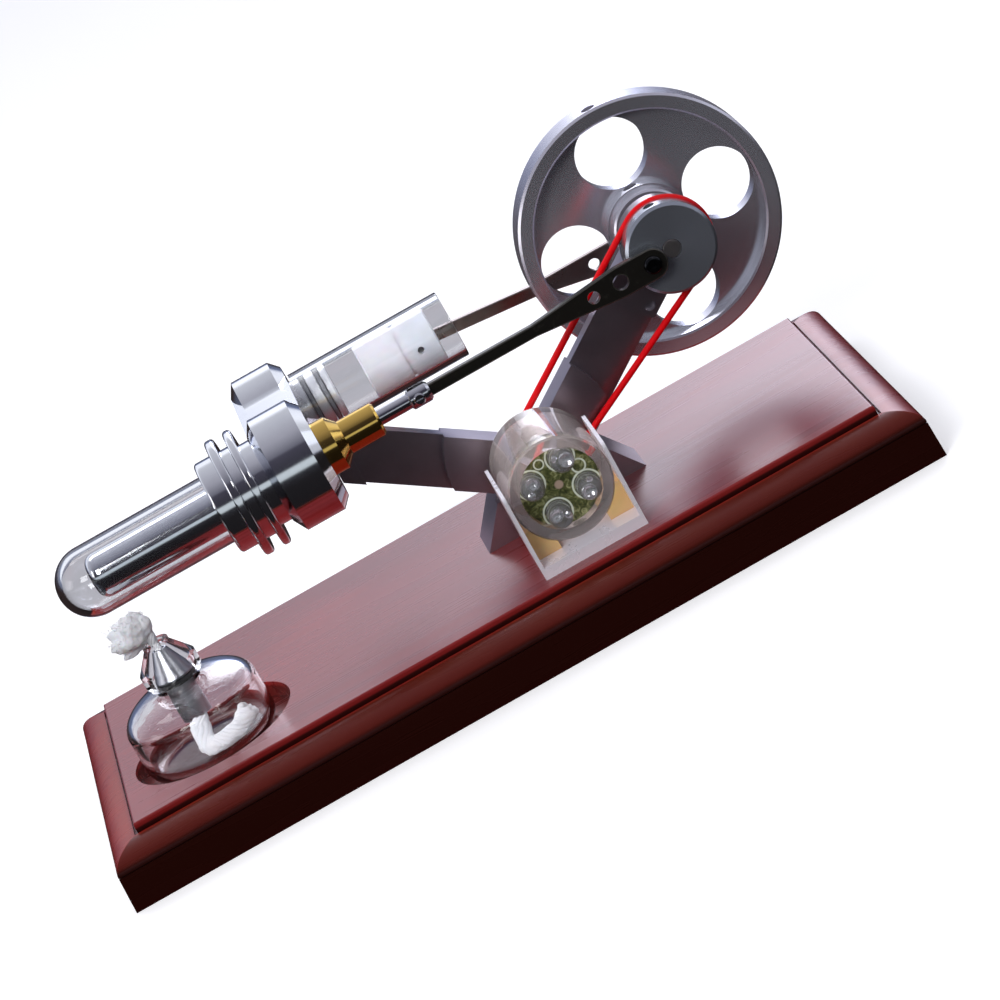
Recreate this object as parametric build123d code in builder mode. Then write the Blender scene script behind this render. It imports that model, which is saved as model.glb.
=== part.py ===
"""Tabletop Stirling engine that drives a small lamp generator, on a moulded wooden base.

Millimetres, +Z up. The origin is the middle of the base's underside, +X runs from the hot
end to the flywheel, and +Y runs to the back, where the power cylinder is. The engine rests
with the displacer at its hot end and the power piston at mid-stroke.
"""

import os
from math import acos, atan2, cos, degrees, hypot, radians, sin, sqrt

from build123d import *

os.makedirs("parts", exist_ok=True)

# Wooden base: skirt, bead and raised panel
BASE_LENGTH = 184.6
BASE_WIDTH = 91.0
BASE_TOP = 14.0
PANEL_LENGTH = 169.3
PANEL_WIDTH = 75.7
SKIRT_TOP = 7.8
SKIRT_FLARE = 0.4
BEAD_FOOT = 8.1
QUIRK_DEPTH = 0.5
BEAD_TOP = 12.1
PANEL_GROOVE = 0.7

# Engine axes
AXIS_Z = BASE_TOP + 39.4
DISPLACER_Y = -8.3
POWER_Y = 25.6
SHAFT_X = 66.4
SHAFT_RADIUS = 2.0
CRANK = 5.2
LINK_LENGTH = 54.5
FIT = 0.05

# Head and glass tubes
HEAD_LEFT = -27.6
HEAD_RIGHT = -15.3
TUBE_RADIUS = 7.5
TUBE_BORE = 6.15

# Bracket, mirrored about BRACKET_X
BRACKET_X = 22.3
BRACKET_Y = 5.25
ARM_THICK = 3.5
PAD_THICK = 7.5
ARM_WIDTH = 11.3
BOSS_RADIUS = 8.4
BEARING_RADIUS = 4.5
BEARING_WIDTH = 2.5
BEARING_YS = (BRACKET_Y - PAD_THICK / 2, BRACKET_Y + PAD_THICK / 2 - BEARING_WIDTH)
FOOT_SCREW_XS = (12.5, 32.1)
HEAD_SCREW_ZS = (AXIS_Z - 1.5, AXIS_Z - 6.4)
PASSAGE_Z = AXIS_Z + 4.1
PASSAGE_X = -20.2

# Flywheel, crank pulley and belt
FLYWHEEL_RADIUS = 28.0
FLYWHEEL_YS = (15.8, 23.5)
HUB_FRONT = 13.5
PULLEY_RADIUS = 9.6
PULLEY_YS = (-6.0, 1.0)
BELT_Y = -0.3
BELT_RADIUS = 0.7
BELT_ON_CRANK = 9.5
BELT_ON_GENERATOR = 6.5

# Generator
GENERATOR_X = 22.6
GENERATOR_Z = BASE_TOP + 13.4
HOUSING_RADIUS = 10.9
HOUSING_BORE = 8.5
HOUSING_YS = (-27.0, -4.0)
LAMP_CIRCLE = 5.8
LAMP_ANGLES = (61, 151, 241, 331)
BOARD_YS = (-24.0, -22.8)
CRADLE_HALF_WIDTH = 11.7
CRADLE_YS = (-33.0, -9.0)
CRADLE_FLOOR = 2.4
CRADLE_WALL = 0.75
CRADLE_TOP = BASE_TOP + 19.5

# Spirit burner in its recess
BURNER_X = -64.2
BURNER_Y = -13.4
RECESS_X = -63.5
RECESS_RADIUS = 18.0
RECESS_DEPTH = 3.5
BOTTLE_RADIUS = 14.8
BOTTLE_FLOOR = BASE_TOP - RECESS_DEPTH


def front(y):
    """The upright plane at y, seen from the front: its x runs along +X and its y up."""
    return Plane.XZ.offset(-y)


def side(x):
    """The upright plane at x, seen from the right: its x runs along +Y and its y up."""
    return Plane.YZ.offset(x)


def rod_y(x, z, radius, y_from, y_to):
    """A plain round bar along Y."""
    with BuildPart() as bar:
        with BuildSketch(front(y_from)):
            with Locations((x, z)):
                Circle(radius)
        extrude(amount=-(y_to - y_from))
    return bar.part


def rod_x(y, z, radius, x_from, x_to):
    """A plain round bar along X."""
    with BuildPart() as bar:
        with BuildSketch(side(x_from)):
            with Locations((y, z)):
                Circle(radius)
        extrude(amount=x_to - x_from)
    return bar.part


def turned_x(y, z, outline):
    """A body turned about an axis along X, from (x, radius) corners."""
    with BuildPart() as body:
        with BuildSketch(front(y)):
            with BuildLine():
                Polyline([(x, z + radius) for x, radius in outline], close=True)
            make_face()
        revolve(axis=Axis((0, y, z), (1, 0, 0)))
    return body.part


def turned_y(x, z, outline):
    """A body turned about an axis along Y, from (y, radius) corners."""
    with BuildPart() as body:
        with BuildSketch(side(x)):
            with BuildLine():
                Polyline([(y, z + radius) for y, radius in outline], close=True)
            make_face()
        revolve(axis=Axis((x, 0, z), (0, 1, 0)))
    return body.part


def turned_z(x, y, outline):
    """A body turned about an upright axis, from (radius, z) corners."""
    with BuildPart() as body:
        with BuildSketch(front(y)):
            with BuildLine():
                Polyline([(x + radius, z) for radius, z in outline], close=True)
            make_face()
        revolve(axis=Axis((x, y, 0), (0, 0, 1)))
    return body.part


def ring_x(y, z, x_mid, radius, cord):
    """A round-section ring about an axis along X, such as an O-ring."""
    with BuildPart() as ring:
        with BuildSketch(front(y)):
            with Locations((x_mid, z + radius)):
                Circle(cord)
        revolve(axis=Axis((0, y, z), (1, 0, 0)))
    return ring.part


def finish(piece, name):
    """Labels a finished piece and writes its file."""
    piece.label = name
    export_step(piece, f"parts/{name}.step")


# ---------------------------------------------------------------- wooden base


def base_section(half_size, panel_half):
    """Half of the base's cross-section up to the bead, out to half_size."""
    bead_half = half_size - SKIRT_FLARE
    crown = panel_half + PANEL_GROOVE
    with BuildSketch() as section:
        with BuildLine():
            Polyline(
                (0, BEAD_TOP),
                (0, 0),
                (half_size, 0),
                (bead_half, SKIRT_TOP),
                (bead_half - QUIRK_DEPTH, SKIRT_TOP),
                (bead_half - QUIRK_DEPTH, BEAD_FOOT),
                (bead_half, BEAD_FOOT),
            )
            EllipticalCenterArc((crown, BEAD_FOOT), bead_half - crown, BEAD_TOP - BEAD_FOOT, 0, arc_size=90)
            Line((crown, BEAD_TOP), (0, BEAD_TOP))
        make_face()
        mirror(about=Plane.YZ)
    return section.sketch


with BuildPart() as wood_base:
    with BuildSketch(Plane.YZ):
        add(base_section(BASE_WIDTH / 2, PANEL_WIDTH / 2))
    extrude(amount=BASE_LENGTH, both=True)
    with BuildSketch(Plane.XZ):
        add(base_section(BASE_LENGTH / 2, PANEL_LENGTH / 2))
    extrude(amount=BASE_WIDTH, both=True, mode=Mode.INTERSECT)
    with BuildSketch(Plane.XY.offset(BEAD_TOP)):
        Rectangle(PANEL_LENGTH + 2 * PANEL_GROOVE, PANEL_WIDTH + 2 * PANEL_GROOVE)
        Rectangle(PANEL_LENGTH, PANEL_WIDTH, mode=Mode.SUBTRACT)
    extrude(amount=-0.8, mode=Mode.SUBTRACT)
    with BuildSketch(Plane.XY.offset(BEAD_TOP)):
        Rectangle(PANEL_LENGTH, PANEL_WIDTH)
    extrude(amount=BASE_TOP - BEAD_TOP)
    fillet(edges().group_by(Axis.Z)[-1], 0.5)
    with BuildSketch(Plane.XY.offset(BASE_TOP)):
        with Locations((RECESS_X, BURNER_Y)):
            Circle(RECESS_RADIUS)
    extrude(amount=-RECESS_DEPTH, mode=Mode.SUBTRACT)
    for screw_x in FOOT_SCREW_XS:
        with BuildSketch(Plane.XY):
            with Locations((screw_x, BRACKET_Y)):
                Circle(4.2)
        extrude(amount=6.0, mode=Mode.SUBTRACT)
        with BuildSketch(Plane.XY):
            with Locations((screw_x, BRACKET_Y)):
                Circle(2.1)
        extrude(amount=BASE_TOP, mode=Mode.SUBTRACT)
    with BuildSketch(Plane.XY.offset(BASE_TOP)):
        with Locations((GENERATOR_X, -23.0), (GENERATOR_X, -13.0)):
            Circle(1.1)
    extrude(amount=-7.5, mode=Mode.SUBTRACT)
finish(wood_base.part, "wood_base")

# ---------------------------------------------------------------- bracket

ARM_FOOT_Z = BASE_TOP + 8.75
ARM_REACH = hypot(SHAFT_X - BRACKET_X, AXIS_Z - ARM_FOOT_Z)
ARM_ANGLE = degrees(atan2(AXIS_Z - ARM_FOOT_Z, SHAFT_X - BRACKET_X))
ARM_Y = BRACKET_Y - ARM_THICK / 2
PAD_Y = BRACKET_Y - PAD_THICK / 2
FOOT_HALF = 18.6
FOOT_HEIGHT = 8.6
FOOT_YS = (-1.2, 11.7)
WAIST_HALF = 11.35
WAIST_Z = BASE_TOP + 9.75


def arms_outline():
    """The V of the two arms, the waist that carries them and the round end at the shaft."""
    with BuildSketch() as outline:
        with Locations((BRACKET_X, ARM_FOOT_Z)):
            Rectangle(ARM_REACH, ARM_WIDTH, rotation=ARM_ANGLE, align=(Align.MIN, Align.CENTER))
            Rectangle(ARM_REACH, ARM_WIDTH, rotation=180 - ARM_ANGLE, align=(Align.MIN, Align.CENTER))
        with Locations((SHAFT_X, AXIS_Z)):
            Circle(BOSS_RADIUS)
        Polygon(
            (BRACKET_X - FOOT_HALF, BASE_TOP),
            (BRACKET_X + FOOT_HALF, BASE_TOP),
            (BRACKET_X + WAIST_HALF, WAIST_Z),
            (BRACKET_X - WAIST_HALF, WAIST_Z),
            align=None,
        )
        with Locations((HEAD_RIGHT, AXIS_Z)):
            Rectangle(40, 80, align=(Align.MAX, Align.CENTER), mode=Mode.SUBTRACT)
    return outline.sketch


def thick_zones():
    """Where the bracket is at its full pad thickness: the middle disc, the shaft pad and the head pad."""
    with BuildSketch() as zones:
        with Locations((BRACKET_X, BASE_TOP + 15.1)):
            Circle(18.5)
        with Locations((SHAFT_X, AXIS_Z)):
            Circle(16.2)
        with Locations((HEAD_RIGHT, AXIS_Z)):
            Rectangle(4.0, 60, align=(Align.MIN, Align.CENTER))
    return zones.sketch


with BuildPart() as bracket:
    with BuildSketch(front(ARM_Y)):
        add(arms_outline())
    extrude(amount=-ARM_THICK)
    with BuildSketch(front(PAD_Y)):
        add(arms_outline())
        add(thick_zones(), mode=Mode.INTERSECT)
    extrude(amount=-PAD_THICK)
    with BuildSketch(front(FOOT_YS[0])):
        Polygon(
            (BRACKET_X - FOOT_HALF, BASE_TOP),
            (BRACKET_X + FOOT_HALF, BASE_TOP),
            (BRACKET_X + 12.2, BASE_TOP + FOOT_HEIGHT),
            (BRACKET_X - 12.2, BASE_TOP + FOOT_HEIGHT),
            align=None,
        )
    extrude(amount=-(FOOT_YS[1] - FOOT_YS[0]))
    # The foot is scooped out in front of the disc, to clear the generator's pulley.
    with BuildSketch(front(FOOT_YS[0])):
        with Locations((GENERATOR_X, GENERATOR_Z)):
            Circle(8.0)
    extrude(amount=-(PAD_Y - FOOT_YS[0]), mode=Mode.SUBTRACT)
    for bearing_y in BEARING_YS:
        seat = rod_y(SHAFT_X, AXIS_Z, BEARING_RADIUS + 0.03, bearing_y, bearing_y + BEARING_WIDTH)
        add(seat, mode=Mode.SUBTRACT)
    add(rod_y(SHAFT_X, AXIS_Z, 3.7, PAD_Y, PAD_Y + PAD_THICK), mode=Mode.SUBTRACT)
    add(rod_y(57.4, BASE_TOP + 29.0, 1.2, PAD_Y, PAD_Y + 1.5), mode=Mode.SUBTRACT)
    for screw_x in FOOT_SCREW_XS:
        with BuildSketch(Plane.XY.offset(BASE_TOP)):
            with Locations((screw_x, BRACKET_Y)):
                Circle(2.05)
        extrude(amount=7.0, mode=Mode.SUBTRACT)
    for screw_z in HEAD_SCREW_ZS:
        add(rod_x(BRACKET_Y, screw_z, 1.3, HEAD_RIGHT, HEAD_RIGHT + 3.0), mode=Mode.SUBTRACT)
finish(bracket.part, "bracket")


# ---------------------------------------------------------------- fasteners


def cap_screw(plane, head_radius, head_height, shank_radius, shank_length):
    """A cap screw with a hex socket. The plane lies under its head, facing away from the shank."""
    with BuildPart() as screw:
        with BuildSketch(plane):
            Circle(head_radius)
        extrude(amount=head_height)
        chamfer(edges().sort_by(Axis(plane.origin, plane.z_dir))[-1], 0.15)
        with BuildSketch(plane):
            Circle(shank_radius)
        extrude(amount=-shank_length)
        with BuildSketch(plane.offset(head_height)):
            RegularPolygon(head_radius * 0.52, 6)
        extrude(amount=-head_height * 0.6, mode=Mode.SUBTRACT)
    return screw.part


def set_screw(plane, radius, length):
    """A headless screw with a hex socket in its outer end, which lies on the plane."""
    with BuildPart() as screw:
        with BuildSketch(plane):
            Circle(radius)
        extrude(amount=-length)
        with BuildSketch(plane):
            RegularPolygon(radius * 0.55, 6)
        extrude(amount=-length * 0.5, mode=Mode.SUBTRACT)
    return screw.part


with BuildPart() as bracket_screws:
    for screw_x in FOOT_SCREW_XS:
        under_head = Plane(origin=(screw_x, BRACKET_Y, 6.0), x_dir=(1, 0, 0), z_dir=(0, 0, -1))
        add(cap_screw(under_head, 3.5, 4.0, 1.98, 14.0))
finish(bracket_screws.part, "bracket_screws")

with BuildPart() as head_screws:
    for screw_z in HEAD_SCREW_ZS:
        under_head = Plane(origin=(HEAD_LEFT + 2.7, BRACKET_Y, screw_z), x_dir=(0, 1, 0), z_dir=(-1, 0, 0))
        add(cap_screw(under_head, 2.15, 2.5, 1.25, 12.4))
finish(head_screws.part, "head_screws")

with BuildPart() as cradle_screws:
    for screw_y in (-23.0, -13.0):
        add(
            turned_z(
                GENERATOR_X,
                screw_y,
                [
                    (0, BASE_TOP - 6.5),
                    (1.0, BASE_TOP - 5.0),
                    (1.0, BASE_TOP + 1.2),
                    (1.9, BASE_TOP + 2.2),
                    (0, BASE_TOP + 2.2),
                ],
            )
        )
        with BuildSketch(Plane.XY.offset(BASE_TOP + 2.2)):
            with Locations((GENERATOR_X, screw_y)):
                Rectangle(2.4, 0.4)
                Rectangle(0.4, 2.4)
        extrude(amount=-0.6, mode=Mode.SUBTRACT)
finish(cradle_screws.part, "cradle_screws")

# ---------------------------------------------------------------- cylinder head and hot end

with BuildPart() as cylinder_head:
    for lobe_y, lobe_radius in ((DISPLACER_Y, 12.7), (POWER_Y, 11.9)):
        add(
            turned_x(
                lobe_y,
                AXIS_Z,
                [
                    (HEAD_LEFT, 0),
                    (HEAD_LEFT, lobe_radius - 3.0),
                    (HEAD_LEFT + 1.7, lobe_radius),
                    (HEAD_RIGHT - 2.0, lobe_radius),
                    (HEAD_RIGHT, lobe_radius - 2.1),
                    (HEAD_RIGHT, 0),
                ],
            )
        )
    with BuildSketch(side(HEAD_LEFT)):
        with Locations(((DISPLACER_Y + POWER_Y) / 2, AXIS_Z)):
            Rectangle(POWER_Y - DISPLACER_Y, 18.0)
    extrude(amount=HEAD_RIGHT - HEAD_LEFT)
    add(rod_x(DISPLACER_Y, AXIS_Z, 8.65, HEAD_LEFT, HEAD_LEFT + 5.3), mode=Mode.SUBTRACT)
    add(rod_x(DISPLACER_Y, AXIS_Z, TUBE_BORE, HEAD_LEFT, HEAD_RIGHT - 2.7), mode=Mode.SUBTRACT)
    add(rod_x(DISPLACER_Y, AXIS_Z, 3.05, HEAD_LEFT, HEAD_RIGHT), mode=Mode.SUBTRACT)
    add(rod_x(POWER_Y, AXIS_Z, 5.5, HEAD_RIGHT - 8.7, HEAD_RIGHT), mode=Mode.SUBTRACT)
    add(rod_y(PASSAGE_X, PASSAGE_Z, 1.5, DISPLACER_Y, POWER_Y), mode=Mode.SUBTRACT)
    for screw_z in HEAD_SCREW_ZS:
        add(rod_x(BRACKET_Y, screw_z, 1.35, HEAD_LEFT, HEAD_RIGHT), mode=Mode.SUBTRACT)
        add(rod_x(BRACKET_Y, screw_z, 2.3, HEAD_LEFT, HEAD_LEFT + 2.7), mode=Mode.SUBTRACT)
finish(cylinder_head.part, "cylinder_head")

COLLAR_LEFT = -39.9
COLLAR_BODY = 10.1
FIN_RADIUS = 13.1
FIN_ROUND = 0.7
FIN_XS = ((-35.85, -33.75), (-31.7, -29.9))
O_RING_XS = (-37.4, -32.7)
O_RING_CORD = 0.75

with BuildPart() as finned_collar:
    add(
        turned_x(
            DISPLACER_Y,
            AXIS_Z,
            [
                (COLLAR_LEFT, TUBE_RADIUS + FIT),
                (COLLAR_LEFT, 10.2),
                (FIN_XS[0][0], 10.2),
                (FIN_XS[0][0], FIN_RADIUS),
                (FIN_XS[0][1], FIN_RADIUS),
                (FIN_XS[0][1], COLLAR_BODY),
                (FIN_XS[1][0], COLLAR_BODY),
                (FIN_XS[1][0], FIN_RADIUS),
                (FIN_XS[1][1], FIN_RADIUS),
                (FIN_XS[1][1], 9.2),
                (HEAD_LEFT, 9.2),
                (HEAD_LEFT, 8.6),
                (HEAD_LEFT + 5.1, 8.6),
                (HEAD_LEFT + 5.1, TUBE_BORE),
                (-29.0, TUBE_BORE),
                (-29.0, TUBE_RADIUS + FIT),
            ],
        )
    )
    fin_edges = edges().filter_by(
        lambda e: e.geom_type == GeomType.CIRCLE and abs(e.radius - FIN_RADIUS) < 0.01
    )
    fillet(fin_edges, FIN_ROUND)
    fillet(edges().group_by(Axis.X)[0].sort_by(SortBy.RADIUS)[-1], 0.8)
    for ring_x_mid in O_RING_XS:
        add(
            turned_x(
                DISPLACER_Y,
                AXIS_Z,
                [
                    (ring_x_mid - 0.95, TUBE_RADIUS - 0.5),
                    (ring_x_mid - 0.95, TUBE_RADIUS + 1.65),
                    (ring_x_mid + 0.95, TUBE_RADIUS + 1.65),
                    (ring_x_mid + 0.95, TUBE_RADIUS - 0.5),
                ],
            ),
            mode=Mode.SUBTRACT,
        )
finish(finned_collar.part, "finned_collar")

with BuildPart() as collar_o_rings:
    for ring_x_mid in O_RING_XS:
        add(ring_x(DISPLACER_Y, AXIS_Z, ring_x_mid, TUBE_RADIUS + 0.83, O_RING_CORD))
finish(collar_o_rings.part, "collar_o_rings")

DOME_X = -69.1

with BuildPart() as hot_glass_tube:
    with BuildSketch(front(DISPLACER_Y)):
        with BuildLine():
            CenterArc((DOME_X, AXIS_Z), TUBE_RADIUS, 90, 90)
            Polyline(
                (DOME_X, AXIS_Z + TUBE_RADIUS),
                (-29.3, AXIS_Z + TUBE_RADIUS),
                (-29.3, AXIS_Z + TUBE_BORE),
                (DOME_X, AXIS_Z + TUBE_BORE),
            )
            CenterArc((DOME_X, AXIS_Z), TUBE_BORE, 90, 90)
            Line((DOME_X - TUBE_BORE, AXIS_Z), (DOME_X - TUBE_RADIUS, AXIS_Z))
        make_face()
    revolve(axis=Axis((0, DISPLACER_Y, AXIS_Z), (1, 0, 0)))
finish(hot_glass_tube.part, "hot_glass_tube")

DISPLACER_RADIUS = 4.85
DISPLACER_XS = (-69.0, -31.5)
DISPLACER_WALL = 0.5
ROD_RADIUS = 1.65

with BuildPart() as displacer_can:
    with BuildSketch(side(DISPLACER_XS[0])):
        with Locations((DISPLACER_Y, AXIS_Z)):
            Circle(DISPLACER_RADIUS)
    extrude(amount=DISPLACER_XS[1] - DISPLACER_XS[0])
    fillet(edges().sort_by(Axis.X)[0], 2.5)
    offset(amount=-DISPLACER_WALL, openings=faces().sort_by(Axis.X)[-1])
finish(displacer_can.part, "displacer_can")

with BuildPart() as displacer_plug:
    add(
        turned_x(
            DISPLACER_Y,
            AXIS_Z,
            [
                (-35.5, 1.05),
                (-35.5, DISPLACER_RADIUS - DISPLACER_WALL - 0.02),
                (DISPLACER_XS[1], DISPLACER_RADIUS - DISPLACER_WALL - 0.02),
                (DISPLACER_XS[1], 1.05),
            ],
        )
    )
finish(displacer_plug.part, "displacer_plug")

with BuildPart() as displacer_rod:
    add(
        turned_x(
            DISPLACER_Y,
            AXIS_Z,
            [
                (-35.4, 0),
                (-35.4, 1.0),
                (DISPLACER_XS[1], 1.0),
                (DISPLACER_XS[1], ROD_RADIUS),
                (3.2, ROD_RADIUS),
                (3.2, 0.95),
                (4.7, 0.95),
                (4.7, 0),
            ],
        )
    )
finish(displacer_rod.part, "displacer_rod")

with BuildPart() as displacer_gland:
    add(
        turned_x(
            DISPLACER_Y,
            AXIS_Z,
            [
                (HEAD_RIGHT - 2.6, ROD_RADIUS + FIT),
                (HEAD_RIGHT - 2.6, 3.0),
                (HEAD_RIGHT, 3.0),
                (HEAD_RIGHT, 5.9),
                (-12.3, 5.9),
                (-10.3, 3.7),
                (-2.8, 3.7),
                (-2.3, 3.2),
                (-2.3, ROD_RADIUS + FIT),
            ],
        )
    )
finish(displacer_gland.part, "displacer_gland")

FORK_PIN_X = 6.7
LINK_THICK = 1.5

with BuildPart() as displacer_fork:
    add(
        turned_x(
            DISPLACER_Y,
            AXIS_Z,
            [(3.2, 0), (3.2, ROD_RADIUS), (4.6, ROD_RADIUS), (5.0, 2.2), (8.9, 2.2), (9.5, 1.7), (9.5, 0)],
        )
    )
    add(rod_x(DISPLACER_Y, AXIS_Z, 1.0, 3.2, 5.0), mode=Mode.SUBTRACT)
    with BuildSketch(side(5.2)):
        with Locations((DISPLACER_Y, AXIS_Z)):
            Rectangle(LINK_THICK + 0.14, 6.0)
    extrude(amount=6.0, mode=Mode.SUBTRACT)
    add(rod_y(FORK_PIN_X, AXIS_Z, 0.75, DISPLACER_Y - 3, DISPLACER_Y + 3), mode=Mode.SUBTRACT)
finish(displacer_fork.part, "displacer_fork")

with BuildPart() as fork_pin:
    add(
        turned_y(
            FORK_PIN_X,
            AXIS_Z,
            [
                (DISPLACER_Y - 2.9, 0),
                (DISPLACER_Y - 2.9, 1.0),
                (DISPLACER_Y - 2.65, 1.25),
                (DISPLACER_Y - 2.2, 1.25),
                (DISPLACER_Y - 2.2, 0.72),
                (DISPLACER_Y + 2.1, 0.72),
                (DISPLACER_Y + 2.1, 0),
            ],
        )
    )
    with BuildSketch(front(DISPLACER_Y - 2.9)):
        with Locations((FORK_PIN_X, AXIS_Z)):
            Rectangle(1.6, 0.3)
    extrude(amount=-0.4, mode=Mode.SUBTRACT)
finish(fork_pin.part, "fork_pin")


LINK_THIN = 1.3
LINK_WIDE = 3.3
LINK_TAPER_FROM = 27.0
LINK_TAPER_TO = 47.0


def link_bar(plane):
    """A flat link, pin to pin along the plane's x from its origin, centred on the plane."""
    with BuildPart() as link:
        with BuildSketch(plane.offset(-LINK_THICK / 2)):
            Circle(1.3)
            Polygon(
                (0, -LINK_THIN),
                (LINK_TAPER_FROM, -LINK_THIN),
                (LINK_TAPER_TO, -LINK_WIDE),
                (LINK_LENGTH, -LINK_WIDE),
                (LINK_LENGTH, LINK_WIDE),
                (LINK_TAPER_TO, LINK_WIDE),
                (LINK_TAPER_FROM, LINK_THIN),
                (0, LINK_THIN),
                align=None,
            )
            with Locations((LINK_LENGTH, 0)):
                Circle(3.3)
            Circle(0.77, mode=Mode.SUBTRACT)
            with Locations((LINK_LENGTH, 0)):
                Circle(1.22, mode=Mode.SUBTRACT)
            with Locations((LINK_LENGTH - 7.4, 0)):
                Circle(1.65, mode=Mode.SUBTRACT)
            with Locations((LINK_LENGTH - 13.7, 0)):
                Circle(1.3, mode=Mode.SUBTRACT)
        extrude(amount=LINK_THICK)
        outline_edges = edges().group_by(Axis(plane.origin, plane.z_dir))[-1]
        chamfer(outline_edges.sort_by(Edge.length)[-1], 0.2)
    return link.part


with BuildPart() as displacer_link:
    add(link_bar(Plane(origin=(FORK_PIN_X, DISPLACER_Y, AXIS_Z), x_dir=(1, 0, 0), z_dir=(0, -1, 0))))
finish(displacer_link.part, "displacer_link")


def crank_screw(x, z, under_head_y, direction, shank_end_y):
    """The shouldered screw at a link's big end, with a hex socket in its button head."""
    plane = Plane(origin=(x, under_head_y, z), x_dir=(1, 0, 0), z_dir=(0, direction, 0))
    with BuildPart() as screw:
        with BuildSketch(plane):
            Circle(1.9)
        extrude(amount=1.1)
        fillet(edges().sort_by(Axis(plane.origin, plane.z_dir))[-1], 0.6)
        with BuildSketch(plane):
            Circle(1.2)
        extrude(amount=-abs(shank_end_y - under_head_y))
        with BuildSketch(plane.offset(1.1)):
            RegularPolygon(0.8, 6)
        extrude(amount=-0.8, mode=Mode.SUBTRACT)
    return screw.part


with BuildPart() as displacer_crank_pin:
    add(crank_screw(SHAFT_X - CRANK, AXIS_Z, DISPLACER_Y - LINK_THICK / 2, -1, PULLEY_YS[0] - 0.35))
finish(displacer_crank_pin.part, "displacer_crank_pin")

PIN_SPACER_RADIUS = 2.1

with BuildPart() as displacer_pin_spacer:
    add(
        turned_y(
            SHAFT_X - CRANK,
            AXIS_Z,
            [
                (DISPLACER_Y + LINK_THICK / 2, 1.22),
                (DISPLACER_Y + LINK_THICK / 2, PIN_SPACER_RADIUS),
                (PULLEY_YS[0] - 0.35, PIN_SPACER_RADIUS),
                (PULLEY_YS[0] - 0.35, 1.22),
            ],
        )
    )
finish(displacer_pin_spacer.part, "displacer_pin_spacer")

# ---------------------------------------------------------------- power side

SPIGOT_RIGHT = -7.3
SPIGOT_RING_XS = (-12.7, -9.4)
RING_GROOVE_HALF = 0.7

with BuildPart() as cylinder_spigot:
    add(
        turned_x(
            POWER_Y,
            AXIS_Z,
            [
                (HEAD_RIGHT - 3.0, 3.0),
                (HEAD_RIGHT - 3.0, 5.45),
                (HEAD_RIGHT, 5.45),
                (HEAD_RIGHT, TUBE_BORE - FIT),
                (SPIGOT_RIGHT, TUBE_BORE - FIT),
                (SPIGOT_RIGHT, 3.0),
            ],
        )
    )
    chamfer(edges().group_by(Axis.X)[-1].sort_by(SortBy.RADIUS)[-1], 0.4)
    for ring_x_mid in SPIGOT_RING_XS:
        groove_left = ring_x_mid - RING_GROOVE_HALF
        groove_right = ring_x_mid + RING_GROOVE_HALF
        ring_groove = [(groove_left, 4.95), (groove_left, 7), (groove_right, 7), (groove_right, 4.95)]
        add(turned_x(POWER_Y, AXIS_Z, ring_groove), mode=Mode.SUBTRACT)
finish(cylinder_spigot.part, "cylinder_spigot")

with BuildPart() as spigot_o_rings:
    for ring_x_mid in SPIGOT_RING_XS:
        add(ring_x(POWER_Y, AXIS_Z, ring_x_mid, 5.56, 0.56))
finish(spigot_o_rings.part, "spigot_o_rings")

with BuildPart() as power_glass_tube:
    add(
        turned_x(
            POWER_Y,
            AXIS_Z,
            [(-14.8, TUBE_BORE), (-14.8, TUBE_RADIUS), (20.6, TUBE_RADIUS), (20.6, TUBE_BORE)],
        )
    )
    fillet(edges().group_by(Axis.X)[-1], 0.3)
finish(power_glass_tube.part, "power_glass_tube")

PISTON_XS = (-0.4, 16.4)
WRIST_PIN_X = SHAFT_X - sqrt(LINK_LENGTH**2 - CRANK**2)

with BuildPart() as power_piston:
    add(
        turned_x(
            POWER_Y,
            AXIS_Z,
            [
                (PISTON_XS[0], 0),
                (PISTON_XS[0], TUBE_BORE - 0.07),
                (8.4, TUBE_BORE - 0.07),
                (8.4, TUBE_BORE - 0.5),
                (9.2, TUBE_BORE - 0.5),
                (9.2, TUBE_BORE - 0.07),
                (PISTON_XS[1], TUBE_BORE - 0.07),
                (PISTON_XS[1], 0),
            ],
        )
    )
    chamfer(edges().group_by(Axis.X)[0], 0.3)
    chamfer(edges().group_by(Axis.X)[-1], 0.3)
    with BuildSketch(side(9.9)):
        with Locations((POWER_Y, AXIS_Z)):
            Rectangle(LINK_THICK + 0.3, 6.4)
    extrude(amount=8.0, mode=Mode.SUBTRACT)
    add(rod_y(WRIST_PIN_X, AXIS_Z, 0.76, POWER_Y - 8, POWER_Y + 8), mode=Mode.SUBTRACT)
finish(power_piston.part, "power_piston")

with BuildPart() as wrist_pin:
    add(rod_y(WRIST_PIN_X, AXIS_Z, 0.72, POWER_Y - 5.5, POWER_Y + 5.5))
finish(wrist_pin.part, "wrist_pin")

LINK_DROP = (SHAFT_X - WRIST_PIN_X, 0, -CRANK)

with BuildPart() as power_link:
    add(link_bar(Plane(origin=(WRIST_PIN_X, POWER_Y, AXIS_Z), x_dir=LINK_DROP, z_dir=(0, -1, 0))))
finish(power_link.part, "power_link")

with BuildPart() as power_crank_pin:
    add(crank_screw(SHAFT_X, AXIS_Z - CRANK, POWER_Y + LINK_THICK / 2, 1, FLYWHEEL_YS[1] + 0.35))
finish(power_crank_pin.part, "power_crank_pin")

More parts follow.
